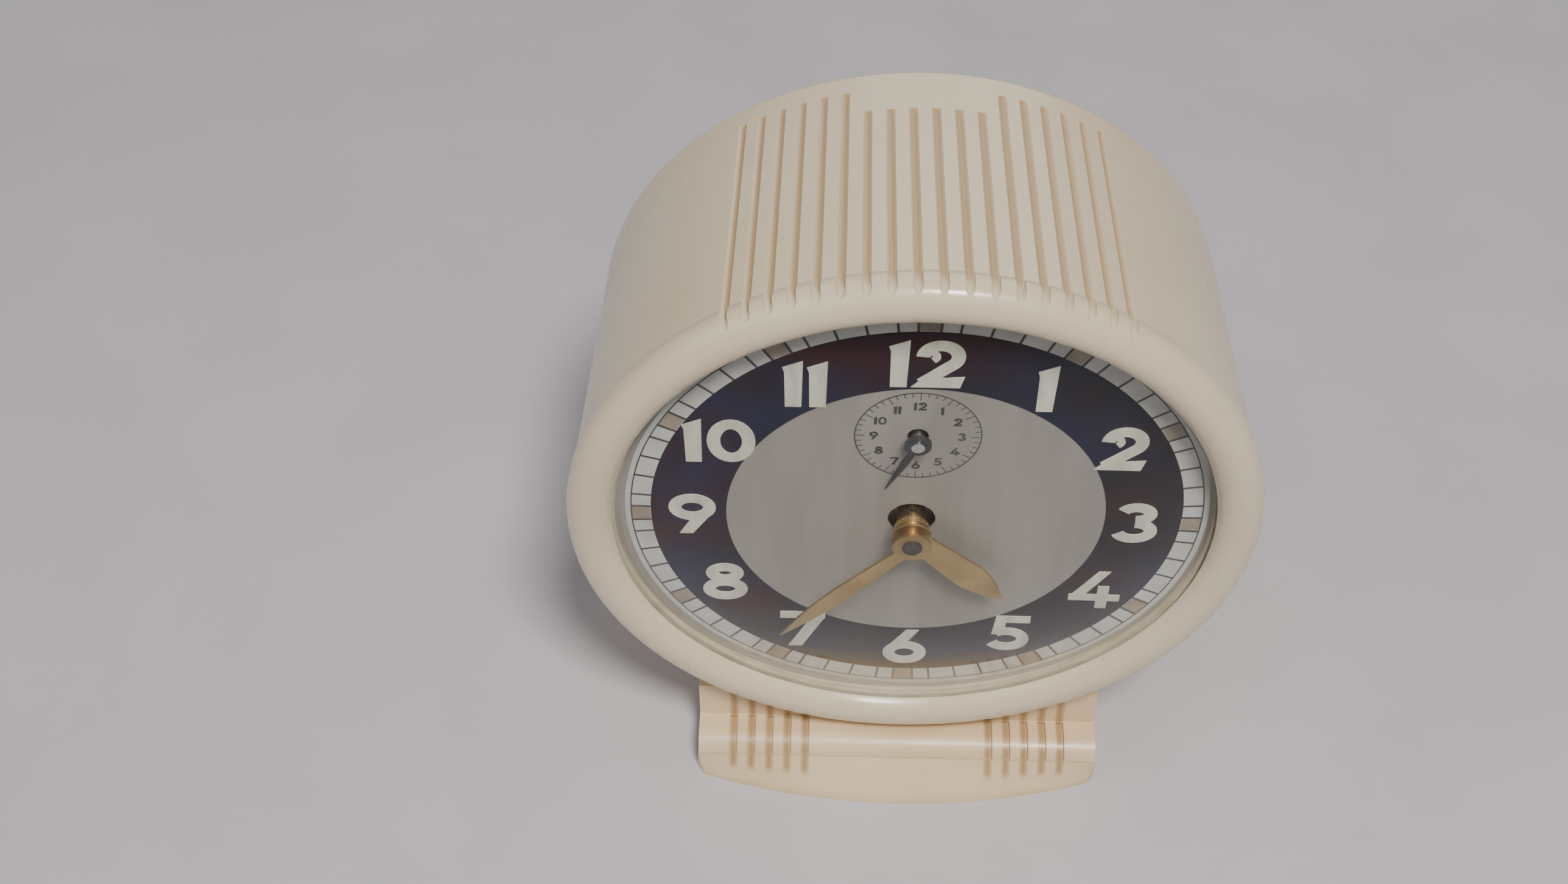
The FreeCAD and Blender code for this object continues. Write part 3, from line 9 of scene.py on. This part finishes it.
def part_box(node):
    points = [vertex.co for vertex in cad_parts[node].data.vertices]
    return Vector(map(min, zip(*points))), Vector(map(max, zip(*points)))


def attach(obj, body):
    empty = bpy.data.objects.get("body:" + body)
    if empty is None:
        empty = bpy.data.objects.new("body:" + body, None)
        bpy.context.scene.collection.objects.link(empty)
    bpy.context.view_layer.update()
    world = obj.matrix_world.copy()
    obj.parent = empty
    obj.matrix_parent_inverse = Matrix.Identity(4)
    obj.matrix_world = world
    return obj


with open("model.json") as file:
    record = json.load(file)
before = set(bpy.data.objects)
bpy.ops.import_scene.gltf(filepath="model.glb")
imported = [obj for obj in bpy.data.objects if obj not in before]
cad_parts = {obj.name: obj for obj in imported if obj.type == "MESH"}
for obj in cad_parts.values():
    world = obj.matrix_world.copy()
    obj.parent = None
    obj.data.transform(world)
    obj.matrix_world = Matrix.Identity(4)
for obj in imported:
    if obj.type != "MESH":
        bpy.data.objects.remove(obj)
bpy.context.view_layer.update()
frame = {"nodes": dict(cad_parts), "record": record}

# A wind-up alarm clock. The CAD pieces keep their shapes. This script adds what is printed on the
# dial and every material. Metres throughout, dial towards -Y.

MM = 0.001
NODES = frame["nodes"]


# ---------------------------------------------------------------- places read from the frame

def middle(node):
    low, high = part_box(node)
    return (low + high) / 2


AXIS = middle("dial_spacer_ring")        # the hand centre
DIAL_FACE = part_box("dial")[0].y          # the front of the dial
ALARM_CENTRE = middle("alarm_arbor")


# ---------------------------------------------------------------- material building blocks

class Paint:
    """A material under construction: short calls that add nodes to one shader."""

    def __init__(self, name, metallic=0.0, coat=0.0):
        self.material = bpy.data.materials.new(name)
        self.material.use_nodes = True
        self.tree = self.material.node_tree
        self.shader = self.tree.nodes["Principled BSDF"]
        self.shader.inputs["Metallic"].default_value = metallic
        self.shader.inputs["Coat Weight"].default_value = coat
        self.place = self.add("ShaderNodeTexCoord").outputs["Object"]

    def add(self, kind, **settings):
        node = self.tree.nodes.new(kind)
        for name, value in settings.items():
            setattr(node, name, value)
        return node

    def feed(self, socket, value):
        if isinstance(value, bpy.types.NodeSocket):
            self.tree.links.new(value, socket)
        else:
            socket.default_value = value

    def cloud(self, scale, detail=3.0, stretch=(1, 1, 1)):
        """Noise with features about 1 / scale metres wide, from 0 to 1."""
        mapping = self.add("ShaderNodeMapping")
        mapping.inputs["Scale"].default_value = stretch
        self.feed(mapping.inputs["Vector"], self.place)
        noise = self.add("ShaderNodeTexNoise")
        noise.inputs["Scale"].default_value = scale
        noise.inputs["Detail"].default_value = detail
        self.feed(noise.inputs["Vector"], mapping.outputs["Vector"])
        return noise.outputs["Fac"]

    def remap(self, value, low, high, new_low, new_high):
        """A value stretched from low..high to new_low..new_high and clamped."""
        node = self.add("ShaderNodeMapRange")
        self.feed(node.inputs["Value"], value)
        spans = (("From Min", low), ("From Max", high), ("To Min", new_low), ("To Max", new_high))
        for name, number in spans:
            node.inputs[name].default_value = number
        return node.outputs["Result"]

    def maths(self, operation, first, second=0.0):
        node = self.add("ShaderNodeMath", operation=operation)
        self.feed(node.inputs[0], first)
        self.feed(node.inputs[1], second)
        return node.outputs["Value"]

    def mixed(self, factor, first, second):
        """One colour fading into another."""
        node = self.add("ShaderNodeMix", data_type="RGBA")
        self.feed(node.inputs["Factor"], factor)
        for socket, value in ((node.inputs["A"], first), (node.inputs["B"], second)):
            self.feed(socket, value if isinstance(value, bpy.types.NodeSocket) else (*value, 1.0))
        return node.outputs["Result"]

    def axes(self):
        """The place along X, Y and Z."""
        separate = self.add("ShaderNodeSeparateXYZ")
        self.feed(separate.inputs["Vector"], self.place)
        return separate.outputs["X"], separate.outputs["Y"], separate.outputs["Z"]

    def product(self, first, *others):
        for other in others:
            first = self.maths("MULTIPLY", first, other)
        return first

    def radius(self, centre):
        """Distance from the line through centre along Y."""
        shift = self.add("ShaderNodeVectorMath", operation="SUBTRACT")
        self.feed(shift.inputs[0], self.place)
        shift.inputs[1].default_value = centre
        flat = self.add("ShaderNodeVectorMath", operation="MULTIPLY")
        self.feed(flat.inputs[0], shift.outputs["Vector"])
        flat.inputs[1].default_value = (1, 0, 1)
        length = self.add("ShaderNodeVectorMath", operation="LENGTH")
        self.feed(length.inputs[0], flat.outputs["Vector"])
        return length.outputs["Value"]

    def colour(self, value):
        self.feed(self.shader.inputs["Base Color"], value)

    def rough(self, value):
        self.feed(self.shader.inputs["Roughness"], value)

    def relief(self, height, depth):
        bump = self.add("ShaderNodeBump")
        bump.inputs["Distance"].default_value = depth
        self.feed(bump.inputs["Height"], height)
        self.feed(self.shader.inputs["Normal"], bump.outputs["Normal"])


# ---------------------------------------------------------------- materials

def moulded_ivory(name, light, dark, dirt_and_shade, dirt_and_shade_mask, smooth=0.2, coat=0.25):
    """Old glossy ivory moulding, faintly clouded and grime-specked, with a darker colour mixed in where
    the mask function says: grime in the drum's grooves, painted shade in and about the foot's grooves.
    """
    paint = Paint(name, coat=coat)
    shader = paint.shader
    shader.inputs["Subsurface Weight"].default_value = 0.12
    shader.inputs["Subsurface Radius"].default_value = (1.0, 0.7, 0.4)
    shader.inputs["Subsurface Scale"].default_value = 1.5 * MM
    shader.inputs["Coat Roughness"].default_value = smooth * 0.6
    clouds = paint.remap(paint.cloud(28, 4), 0.35, 0.7, 0, 1)
    base = paint.mixed(clouds, light, dark)
    specks = paint.remap(paint.cloud(900, 2), 0.66, 0.8, 0, 0.35)
    base = paint.mixed(specks, base, dirt_and_shade)
    # Grime in the drum's grooves; on the foot this darker colour is painted shade.
    paint.colour(paint.mixed(dirt_and_shade_mask(paint), base, dirt_and_shade))
    scratches = paint.remap(paint.cloud(90, 6, (1, 3, 1)), 0.3, 0.75, smooth, smooth + 0.16)
    paint.rough(scratches)
    paint.relief(paint.cloud(110, 2), 0.005 * MM)
    return paint.material


# The case's own sizes, in mm. Depths are behind its front edge.
DRUM_FRONT = 52.72          # radius where the drum meets the nose
DRUM_FRONT_DEPTH = 5.4
DRUM_REAR = 51.35           # radius where the rear edge starts to round
REAR_ROUND = 1.1
NOSE_DEPTH = 2.5            # the nose is clean in front of this depth


def drum_grooves(paint):
    """1 down in the drum's grooves, from the depth below the tapered drum."""
    _, y, _ = paint.axes()
    low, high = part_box("case_shell")
    front = low.y + DRUM_FRONT_DEPTH * MM
    rear = high.y - REAR_ROUND * MM
    drum = paint.remap(y, front, rear, DRUM_FRONT * MM, DRUM_REAR * MM)
    depth = paint.maths("SUBTRACT", drum, paint.radius(AXIS))
    sunk = paint.remap(depth, 0.1 * MM, 0.45 * MM, 0, 1)
    not_nose = paint.remap(y, low.y + NOSE_DEPTH * MM, front, 0, 1)
    not_inside = paint.remap(depth, 0.7 * MM, 0.9 * MM, 1, 0)
    return paint.product(sunk, not_nose, not_inside)


# The foot's grooves, in mm.
FIRST_GROOVE = 16.05        # from the middle, to either side
GROOVE_PITCH = 3.14
GROOVE_COUNT = 5
GROOVE_LOW = (2.3, 3.4)     # the heights between which the painted shade in the grooves fades in
GROOVE_BACK = (-19, -18)    # where it fades out towards the rear


def foot_shade(paint):
    """1 in the foot's grooves, where painted shade makes each flat-bottomed groove look like a rounded
    flute, with painted shade at the foot's base and under the drum.
    """
    x, y, z = paint.axes()
    first = FIRST_GROOVE * MM
    pitch = GROOVE_PITCH * MM
    sideways = paint.maths("ABSOLUTE", x)
    turns = paint.maths("DIVIDE", paint.maths("SUBTRACT", sideways, first), pitch)
    wave = paint.maths("COSINE", paint.maths("MULTIPLY", turns, 2 * math.pi))
    # Painted shade: a cosine across each groove, darkest along its middle.
    line = paint.remap(wave, -0.3, 1.0, 0, 0.85)
    inner = paint.remap(sideways, first - 0.5 * pitch, first - 0.45 * pitch, 0, 1)
    last = first + GROOVE_COUNT * pitch
    outer = paint.remap(sideways, last - 0.55 * pitch, last - 0.5 * pitch, 1, 0)
    above = paint.remap(z, GROOVE_LOW[0] * MM, GROOVE_LOW[1] * MM, 0, 1)
    in_front = paint.remap(y, GROOVE_BACK[0] * MM, GROOVE_BACK[1] * MM, 1, 0)
    line = paint.product(line, inner, outer, above, in_front)
    # Painted shadow just under the drum's edge.
    under_drum = paint.maths("SUBTRACT", paint.radius(AXIS), DRUM_FRONT * MM)
    shade_under_drum = paint.remap(under_drum, 0.0, 2.2 * MM, 0.5, 0)
    # Painted contact shade along the foot's base.
    low = paint.remap(z, 0.0, 1.2 * MM, 0.3, 0)
    return paint.maths("MAXIMUM", line, paint.maths("MAXIMUM", shade_under_drum, low))


def metal(name, bright, dull, smooth=0.22, coarse=0.42, grain=(1, 1, 14), depth=0.006):
    """Worked metal: fine grain one way, tarnish in clouds."""
    paint = Paint(name, metallic=1.0)
    tarnish = paint.remap(paint.cloud(130, 5), 0.38, 0.68, 0, 1)
    fine = paint.cloud(1500, 2, grain)
    paint.colour(paint.mixed(tarnish, bright, dull))
    paint.rough(paint.remap(fine, 0.3, 0.7, smooth, coarse))
    paint.relief(fine, depth * MM)
    return paint.material


def spun_metal(name, bright, dull, centre, pitch=0.35):
    """Sheet metal with the fine rings that spinning leaves about its centre."""
    paint = Paint(name, metallic=1.0)
    turns = paint.maths("MULTIPLY", paint.radius(centre), 2 * math.pi / (pitch * MM))
    rings = paint.maths("SINE", turns)
    wear = paint.remap(paint.cloud(60, 5), 0.35, 0.7, 0, 1)
    paint.colour(paint.mixed(wear, bright, dull))
    uneven = paint.maths("ADD", paint.maths("MULTIPLY", rings, 0.3), wear)
    paint.rough(paint.remap(uneven, -0.3, 1.3, 0.2, 0.4))
    paint.relief(rings, 0.004 * MM)
    return paint.material


def lacquer(name, main, other, rough=(0.25, 0.45), scale=220, stretch=(1, 1, 1)):
    """Printed or painted colour with a slight unevenness."""
    paint = Paint(name)
    patches = paint.remap(paint.cloud(scale, 4, stretch), 0.35, 0.68, 0, 1)
    paint.colour(paint.mixed(patches, main, other))
    paint.rough(paint.remap(paint.cloud(scale * 2, 3), 0.3, 0.7, *rough))
    paint.relief(paint.cloud(scale * 5, 2), 0.004 * MM)
    return paint.material


def chapter_black():
    """The almost black hour ring, with painted reflections of the surroundings: clouds drifting to dark
    blue and to dark red.
    """
    paint = Paint("chapter_black")
    paint.shader.inputs["Specular IOR Level"].default_value = 0.2
    # Painted reflection: dark blue and dark red clouds stand in for the surroundings seen in the ring's
    # gloss.
    navy_reflection = paint.remap(paint.cloud(42, 2), 0.42, 0.62, 0, 1)
    maroon_reflection = paint.remap(paint.cloud(30, 2, (1, 1, 1.6)), 0.5, 0.68, 0, 1)
    base = paint.mixed(navy_reflection, (0.007, 0.005, 0.008), (0.008, 0.009, 0.034))
    paint.colour(paint.mixed(maroon_reflection, base, (0.022, 0.004, 0.005)))
    paint.rough(paint.remap(paint.cloud(90, 2), 0.3, 0.7, 0.3, 0.4))
    return paint.material


def clear_glass():
    """Thin window glass that lets lamp light through to the dial."""
    paint = Paint("clear_glass")
    shader = paint.shader
    shader.inputs["Transmission Weight"].default_value = 1.0
    shader.inputs["IOR"].default_value = 1.22
    shader.inputs["Base Color"].default_value = (0.97, 0.985, 0.975, 1)
    paint.rough(paint.remap(paint.cloud(70, 5), 0.4, 0.75, 0.0, 0.05))
    rays = paint.add("ShaderNodeLightPath")
    open_air = paint.add("ShaderNodeBsdfTransparent")
    open_air.inputs["Color"].default_value = (0.95, 0.96, 0.95, 1)
    mix = paint.add("ShaderNodeMixShader")
    paint.feed(mix.inputs[0], rays.outputs["Is Shadow Ray"])
    paint.feed(mix.inputs[1], shader.outputs["BSDF"])
    paint.feed(mix.inputs[2], open_air.outputs["BSDF"])
    paint.feed(paint.tree.nodes["Material Output"].inputs["Surface"], mix.outputs["Shader"])
    return paint.material


IVORY = moulded_ivory("ivory_moulding", (0.77, 0.665, 0.48), (0.735, 0.62, 0.43), (0.50, 0.345, 0.18),
                      drum_grooves)
# The foot's darker colour is painted shade in its grooves, at its base and under the drum, and also
# colours a few grime specks.
FOOT_IVORY = moulded_ivory("foot_moulding", (0.84, 0.66, 0.42), (0.80, 0.59, 0.35), (0.42, 0.25, 0.10),
                           foot_shade, smooth=0.32, coat=0.1)
CHAPTER_BLACK = chapter_black()
GLASS = clear_glass()
BRASS = metal("clock_brass", (0.74, 0.53, 0.24), (0.52, 0.35, 0.15))
GILT = metal("dull_gilt", (0.50, 0.37, 0.18), (0.36, 0.25, 0.12), 0.34, 0.55)
STEEL = metal("turned_steel", (0.58, 0.58, 0.57), (0.36, 0.35, 0.33))
BLUED = metal("blued_steel", (0.07, 0.09, 0.17), (0.12, 0.10, 0.13), 0.2, 0.35)
NICKEL = spun_metal("satin_nickel", (0.70, 0.68, 0.63), (0.52, 0.49, 0.43), AXIS)
ZINC = metal("plated_screws", (0.62, 0.61, 0.57), (0.40, 0.38, 0.34))
BLACK_PLASTIC = lacquer("black_moulding", (0.014, 0.013, 0.012), (0.030, 0.027, 0.024), (0.18, 0.36))
BLACK_PAINT = lacquer("black_paint", (0.012, 0.012, 0.013), (0.028, 0.026, 0.026))
CARD = lacquer("buff_card", (0.44, 0.38, 0.28), (0.34, 0.28, 0.20), (0.55, 0.75))
DIAL_CREAM = lacquer("dial_cream", (0.225, 0.20, 0.18), (0.19, 0.17, 0.15), (0.38, 0.5), 260, (1, 1, 0.08))
TRACK_WHITE = lacquer("track_white", (0.46, 0.45, 0.43), (0.38, 0.36, 0.33), (0.4, 0.6))
NUMERAL = lacquer("numeral_cream", (0.54, 0.515, 0.43), (0.38, 0.365, 0.30), (0.3, 0.5), 420, (1, 1, 0.25))
MARK_TAN = lacquer("mark_tan", (0.26, 0.21, 0.16), (0.18, 0.14, 0.10), (0.4, 0.6))
INK = lacquer("printing_ink", (0.020, 0.018, 0.018), (0.05, 0.045, 0.045), (0.4, 0.6))
FLOOR_PAPER = lacquer("pale_floor", (0.60, 0.575, 0.60), (0.56, 0.535, 0.565), (0.6, 0.8), 30)

NODE_MATERIALS = {
    "case_shell": IVORY, "foot": FOOT_IVORY, "front_glass": GLASS, "dial_spacer_ring": CARD,
    "dial": DIAL_CREAM, "alarm_hand": BLACK_PAINT, "minute_hand_cap": BLACK_PAINT,
    "bell_back_cover": NICKEL, "hand_set_knob": BLACK_PLASTIC, "alarm_set_knob": BLACK_PLASTIC,
    "alarm_stop_slide": BLACK_PLASTIC, "minute_hand": GILT, "hour_hand": GILT,
    "time_mainspring": BLUED, "alarm_mainspring": BLUED, "hairspring": BLUED,
}
SLOT_MATERIALS = {"brass": BRASS, "steel": STEEL, "zinc_screw": ZINC}


def dress_nodes():
    """Gives every CAD node its finished material."""
    slots = {part["node"]: part["material_slot"] for part in frame["record"]["subparts"]}
    for name, item in NODES.items():
        material = NODE_MATERIALS.get(name) or SLOT_MATERIALS[slots[name]]
        item.data.materials.clear()
        item.data.materials.append(material)


# ---------------------------------------------------------------- flat printed shapes, in mm

PRINT_SHIFT = (0.5, 0.4)    # the printing sits a little off the hand centre


def face_point(x, y, lift):
    """A point on the dial, x right and y up from the hand centre in mm, lift mm in front of it."""
    right, up = PRINT_SHIFT
    return Vector((AXIS.x + (x + right) * MM, DIAL_FACE - lift * MM, AXIS.z + (y + up) * MM))


def signed_area(shape):
    """Above zero for a shape whose points run counter-clockwise."""
    return sum(a[0] * b[1] - b[0] * a[1] for a, b in zip(shape, shape[1:] + shape[:1])) / 2


def merged(shapes):
    """The union of flat closed shapes, as points and triangles."""
    points = []
    faces = []
    for shape in shapes:
        order = list(range(len(points), len(points) + len(shape)))
        faces.append(order if signed_area(shape) > 0 else order[::-1])
        points += [Vector(point) for point in shape]
    points, _, triangles, _, _, owners = delaunay_2d_cdt(points, [], faces, 1, 1e-5)
    return points, [triangle for triangle, owner in zip(triangles, owners) if owner]


def printed(name, shapes, low, high, material):
    """A solid print between two lifts in front of the dial."""
    points, triangles = merged(shapes)
    count = len(points)
    vertices = [face_point(point[0], point[1], high) for point in points]
    vertices += [face_point(point[0], point[1], low) for point in points]
    faces = []
    edges = {}
    for triangle in triangles:
        turned = list(triangle)
        a, b, c = (points[k] for k in turned)
        if (b - a).cross(c - a) < 0:
            turned.reverse()
        faces.append(turned)
        faces.append([count + k for k in reversed(turned)])
        for start, end in zip(turned, turned[1:] + turned[:1]):
            edges[(start, end)] = True
    for start, end in edges:
        if (end, start) not in edges:
            faces.append([end, start, count + start, count + end])
    mesh = bpy.data.meshes.new(name)
    mesh.from_pydata(vertices, [], faces)
    mesh.validate()
    mesh.materials.append(material)
    item = bpy.data.objects.new(name, mesh)
    bpy.context.scene.collection.objects.link(item)
    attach(item, "clock_case")


def arc(cx, cy, rx, ry, start, end, steps=24):
    """Points along an arc from start to end degrees."""
    angles = [math.radians(start + (end - start) * k / steps) for k in range(steps + 1)]
    return [(cx + rx * math.cos(a), cy + ry * math.sin(a)) for a in angles]


def ribbon(path, half):
    """A stroke of one width along a path, as one shape for each of its spans."""
    path = [Vector(point) for point in path]
    closed = (path[0] - path[-1]).length < 1e-6
    sides = []
    for k, point in enumerate(path):
        before = path[k - 1] if k else (path[-2] if closed else point)
        after = path[k + 1] if k + 1 < len(path) else (path[1] if closed else point)
        along = (after - before).normalized()
        normal = Vector((-along.y, along.x)) * half
        sides.append((point + normal, point - normal))
    return [[a[1], b[1], b[0], a[0]] for a, b in zip(sides, sides[1:])]


def annulus(inner, outer, steps=180):
    middle_radius = (inner + outer) / 2
    return ribbon(arc(0, 0, middle_radius, middle_radius, 0, 360, steps), (outer - inner) / 2)


def box_shape(left, low, right, high):
    return [(left, low), (right, low), (right, high), (left, high)]


USUAL_WIDTH = 0.78
GLYPH_WIDTH = {"1": 0.31, "4": 0.8}
STROKE_HALF = 0.105


def glyph(digit):
    """A bold rounded digit one unit high, as overlapping shapes."""
    half = STROKE_HALF
    if digit == "0":
        return ribbon(arc(0.39, 0.5, 0.275, 0.39, 0, 360), half)
    if digit == "1":
        return [[(0.04, 0), (0.29, 0), (0.31, 1.0), (0.0, 0.86), (0.03, 0.76)]]
    if digit == "2":
        curl = arc(0.24, 0.66, 0.1, 0.09, -60, 180, 12)
        bowl = arc(0.4, 0.66, 0.26, 0.235, 180, -38)
        base = [(-0.02, 0), (0.72, 0), (0.78, 0.24), (0.3, 0.19), (0.16, 0.2)]
        return ribbon(curl, 0.06) + ribbon(bowl + [(0.14, 0.09)], half) + [base]
    if digit == "3":
        return (ribbon(arc(0.33, 0.735, 0.225, 0.16, 160, -90), half)
                + ribbon(arc(0.34, 0.3, 0.27, 0.195, 90, -160), half))
    if digit == "4":
        return [[(0.42, 1.0), (0.62, 1.0), (0.2, 0.28), (-0.02, 0.28)], box_shape(-0.02, 0.2, 0.84, 0.37),
                box_shape(0.45, 0, 0.64, 0.6)]
    if digit == "5":
        return ([box_shape(0.13, 0.81, 0.72, 1.0), [(0.08, 0.46), (0.28, 0.46), (0.33, 1.0), (0.13, 1.0)]]
                + ribbon(arc(0.35, 0.33, 0.285, 0.225, 135, -150), half))
    if digit == "6":
        return (ribbon(arc(0.39, 0.33, 0.28, 0.225, 0, 360), half)
                + [[(0.02, 0.4), (0.4, 1.0), (0.62, 1.0), (0.34, 0.48)]])
    if digit == "7":
        return [box_shape(0, 0.81, 0.78, 1.0), [(0.54, 0.85), (0.78, 0.85), (0.38, 0), (0.14, 0)]]
    if digit == "8":
        return (ribbon(arc(0.39, 0.74, 0.215, 0.155, 0, 360), half)
                + ribbon(arc(0.39, 0.3, 0.275, 0.195, 0, 360), half))
    return [[(USUAL_WIDTH - x, 1 - y) for x, y in shape] for shape in glyph("6")]


def number_shapes(text, x, y, high, gap=0.06):
    """A number centred at x, y with digits high mm tall."""
    widths = [GLYPH_WIDTH.get(digit, USUAL_WIDTH) for digit in text]
    pen = -(sum(widths) + gap * (len(text) - 1)) / 2
    shapes = []
    for digit, width in zip(text, widths):
        for shape in glyph(digit):
            shapes.append([(x + (pen + u) * high, y + (v - 0.5) * high) for u, v in shape])
        pen += width + gap
    return shapes


def radial_bar(angle, inner, outer, half, x=0.0, y=0.0):
    """A bar pointing away from x, y at a clockwise angle from twelve."""
    out = Vector((math.sin(math.radians(angle)), math.cos(math.radians(angle))))
    side = Vector((out.y, -out.x)) * half
    centre = Vector((x, y))
    return [centre + out * inner + side, centre + out * outer + side,
            centre + out * outer - side, centre + out * inner - side]


DISC = 29.1                 # edge of the cream centre
BAND = 40.7                 # edge of the dark hour ring
TRACK = 44.6                # edge of the minute track
TRACK_LINE = 0.9            # the track's outer line lies this far inside its edge
LINE_HALF = 0.1             # half the width of the track's line and of the alarm ring
TICK_HALF = 0.19
BLOCK_HALF = 1.45
BLOCK_EDGE = 2.2            # degrees from a five-minute block's middle to the ticks beside it
NUMERAL_CIRCLE = 34.3
NUMERAL_HIGH = 9.5
SUBDIAL = 9.3
SUBDIAL_NUMERAL_CIRCLE = 6.5
SUBDIAL_NUMERAL_HIGH = 1.7


def hour_shapes(hour, x, y, circle, high):
    """One hour's figures at their place on a circle about x, y."""
    angle = math.radians(30 * hour)
    return number_shapes(str(hour), x + circle * math.sin(angle), y + circle * math.cos(angle), high)


def print_dial():
    """Everything printed on the dial."""
    printed("hour_ring", annulus(DISC, BAND), 0.0, 0.04, CHAPTER_BLACK)
    printed("minute_track", annulus(BAND, TRACK), 0.0, 0.02, TRACK_WHITE)
    end = TRACK - TRACK_LINE
    ticks = [radial_bar(6 * k, BAND, end, TICK_HALF) for k in range(60) if k % 5]
    beside = [30 * k + side * BLOCK_EDGE for k in range(12) for side in (-1, 1)]
    edges = [radial_bar(angle, BAND, end, TICK_HALF) for angle in beside]
    line = annulus(end - LINE_HALF, end + LINE_HALF)
    printed("minute_ticks", ticks + edges + line, 0.02, 0.04, INK)
    blocks = [radial_bar(30 * k, BAND + LINE_HALF, end - LINE_HALF, BLOCK_HALF) for k in range(12)]
    printed("five_minute_blocks", blocks, 0.02, 0.03, MARK_TAN)
    for hour in range(1, 13):
        shapes = hour_shapes(hour, 0, 0, NUMERAL_CIRCLE, NUMERAL_HIGH)
        printed("numeral_%d" % hour, shapes, 0.04, 0.16, NUMERAL)


def print_alarm_dial():
    """The small ring of hours that the alarm hand points to."""
    x = (ALARM_CENTRE.x - AXIS.x) / MM - PRINT_SHIFT[0]
    y = (ALARM_CENTRE.z - AXIS.z) / MM - PRINT_SHIFT[1]
    circle = annulus(SUBDIAL - LINE_HALF, SUBDIAL + LINE_HALF, 96)
    ring = [[(px + x, py + y) for px, py in shape] for shape in circle]
    marks = []
    for k in range(48):
        length = 1.5 if k % 4 == 0 else 0.9
        marks.append(radial_bar(7.5 * k, SUBDIAL - length, SUBDIAL, 0.07, x, y))
    printed("alarm_ring", ring + marks, 0.0, 0.02, INK)
    for hour in range(1, 13):
        shapes = hour_shapes(hour, x, y, SUBDIAL_NUMERAL_CIRCLE, SUBDIAL_NUMERAL_HIGH)
        printed("alarm_numeral_%d" % hour, shapes, 0.0, 0.02, INK)


# ---------------------------------------------------------------- floor, light and camera

FLOOR_HALF = 8.0
LIGHT_TARGET = (0, 0, 0.06)
# name, place, diameter, power and tint
LIGHTS = [
    ("key", (0.14, -0.42, 0.85), 0.2, 8.4, (1.0, 0.97, 0.93)),
    ("fill", (-0.8, -0.4, 0.7), 0.9, 2.3, (0.93, 0.95, 1.0)),
    ("back", (0.2, 0.9, 0.7), 0.9, 1.8, (1.0, 0.98, 0.96)),
]
ROOM_TINT = (0.80, 0.79, 0.82, 1)
ROOM_STRENGTH = 0.13
LENS = 41.9
CAMERA_PLACE = (-0.01381, -0.19895, 0.28275)
CAMERA_YAW = -1.9           # degrees, clockwise from straight back
CAMERA_PITCH = 48.84        # degrees below level
CAMERA_ROLL = -0.25


def floor():
    half = FLOOR_HALF
    mesh = bpy.data.meshes.new("floor")
    corners = [(-half, -half, 0), (half, -half, 0), (half, half, 0), (-half, half, 0)]
    mesh.from_pydata(corners, [], [(0, 1, 2, 3)])
    mesh.materials.append(FLOOR_PAPER)
    item = bpy.data.objects.new("floor", mesh)
    bpy.context.scene.collection.objects.link(item)


def lighting():
    for name, place, size, power, tint in LIGHTS:
        data = bpy.data.lights.new(name, "AREA")
        data.shape = "DISK"
        data.size = size
        data.energy = power
        data.color = tint
        item = bpy.data.objects.new(name, data)
        item.location = place
        item.rotation_euler = (Vector(LIGHT_TARGET) - Vector(place)).to_track_quat("-Z", "Y").to_euler()
        bpy.context.scene.collection.objects.link(item)
    world = bpy.data.worlds.new("studio")
    world.use_nodes = True
    background = world.node_tree.nodes["Background"]
    background.inputs["Color"].default_value = ROOM_TINT
    background.inputs["Strength"].default_value = ROOM_STRENGTH
    bpy.context.scene.world = world


def camera():
    """Above and in front, looking steeply down with the dial foreshortened."""
    yaw, pitch, roll = (math.radians(angle) for angle in (CAMERA_YAW, CAMERA_PITCH, CAMERA_ROLL))
    ahead = math.cos(pitch)
    forward = Vector((math.sin(yaw) * ahead, math.cos(yaw) * ahead, -math.sin(pitch)))
    level = Vector((math.cos(yaw), -math.sin(yaw), 0))
    above = level.cross(forward)
    right = level * math.cos(roll) + above * math.sin(roll)
    up = above * math.cos(roll) - level * math.sin(roll)
    data = bpy.data.cameras.new("view")
    data.sensor_width = 36
    data.lens = LENS
    data.clip_start = 0.01
    item = bpy.data.objects.new("view", data)
    turn = Matrix((right, up, -forward)).transposed().to_4x4()
    item.matrix_world = Matrix.Translation(CAMERA_PLACE) @ turn
    bpy.context.scene.collection.objects.link(item)
    bpy.context.scene.camera = item


dress_nodes()
print_dial()
print_alarm_dial()
floor()
lighting()
camera()
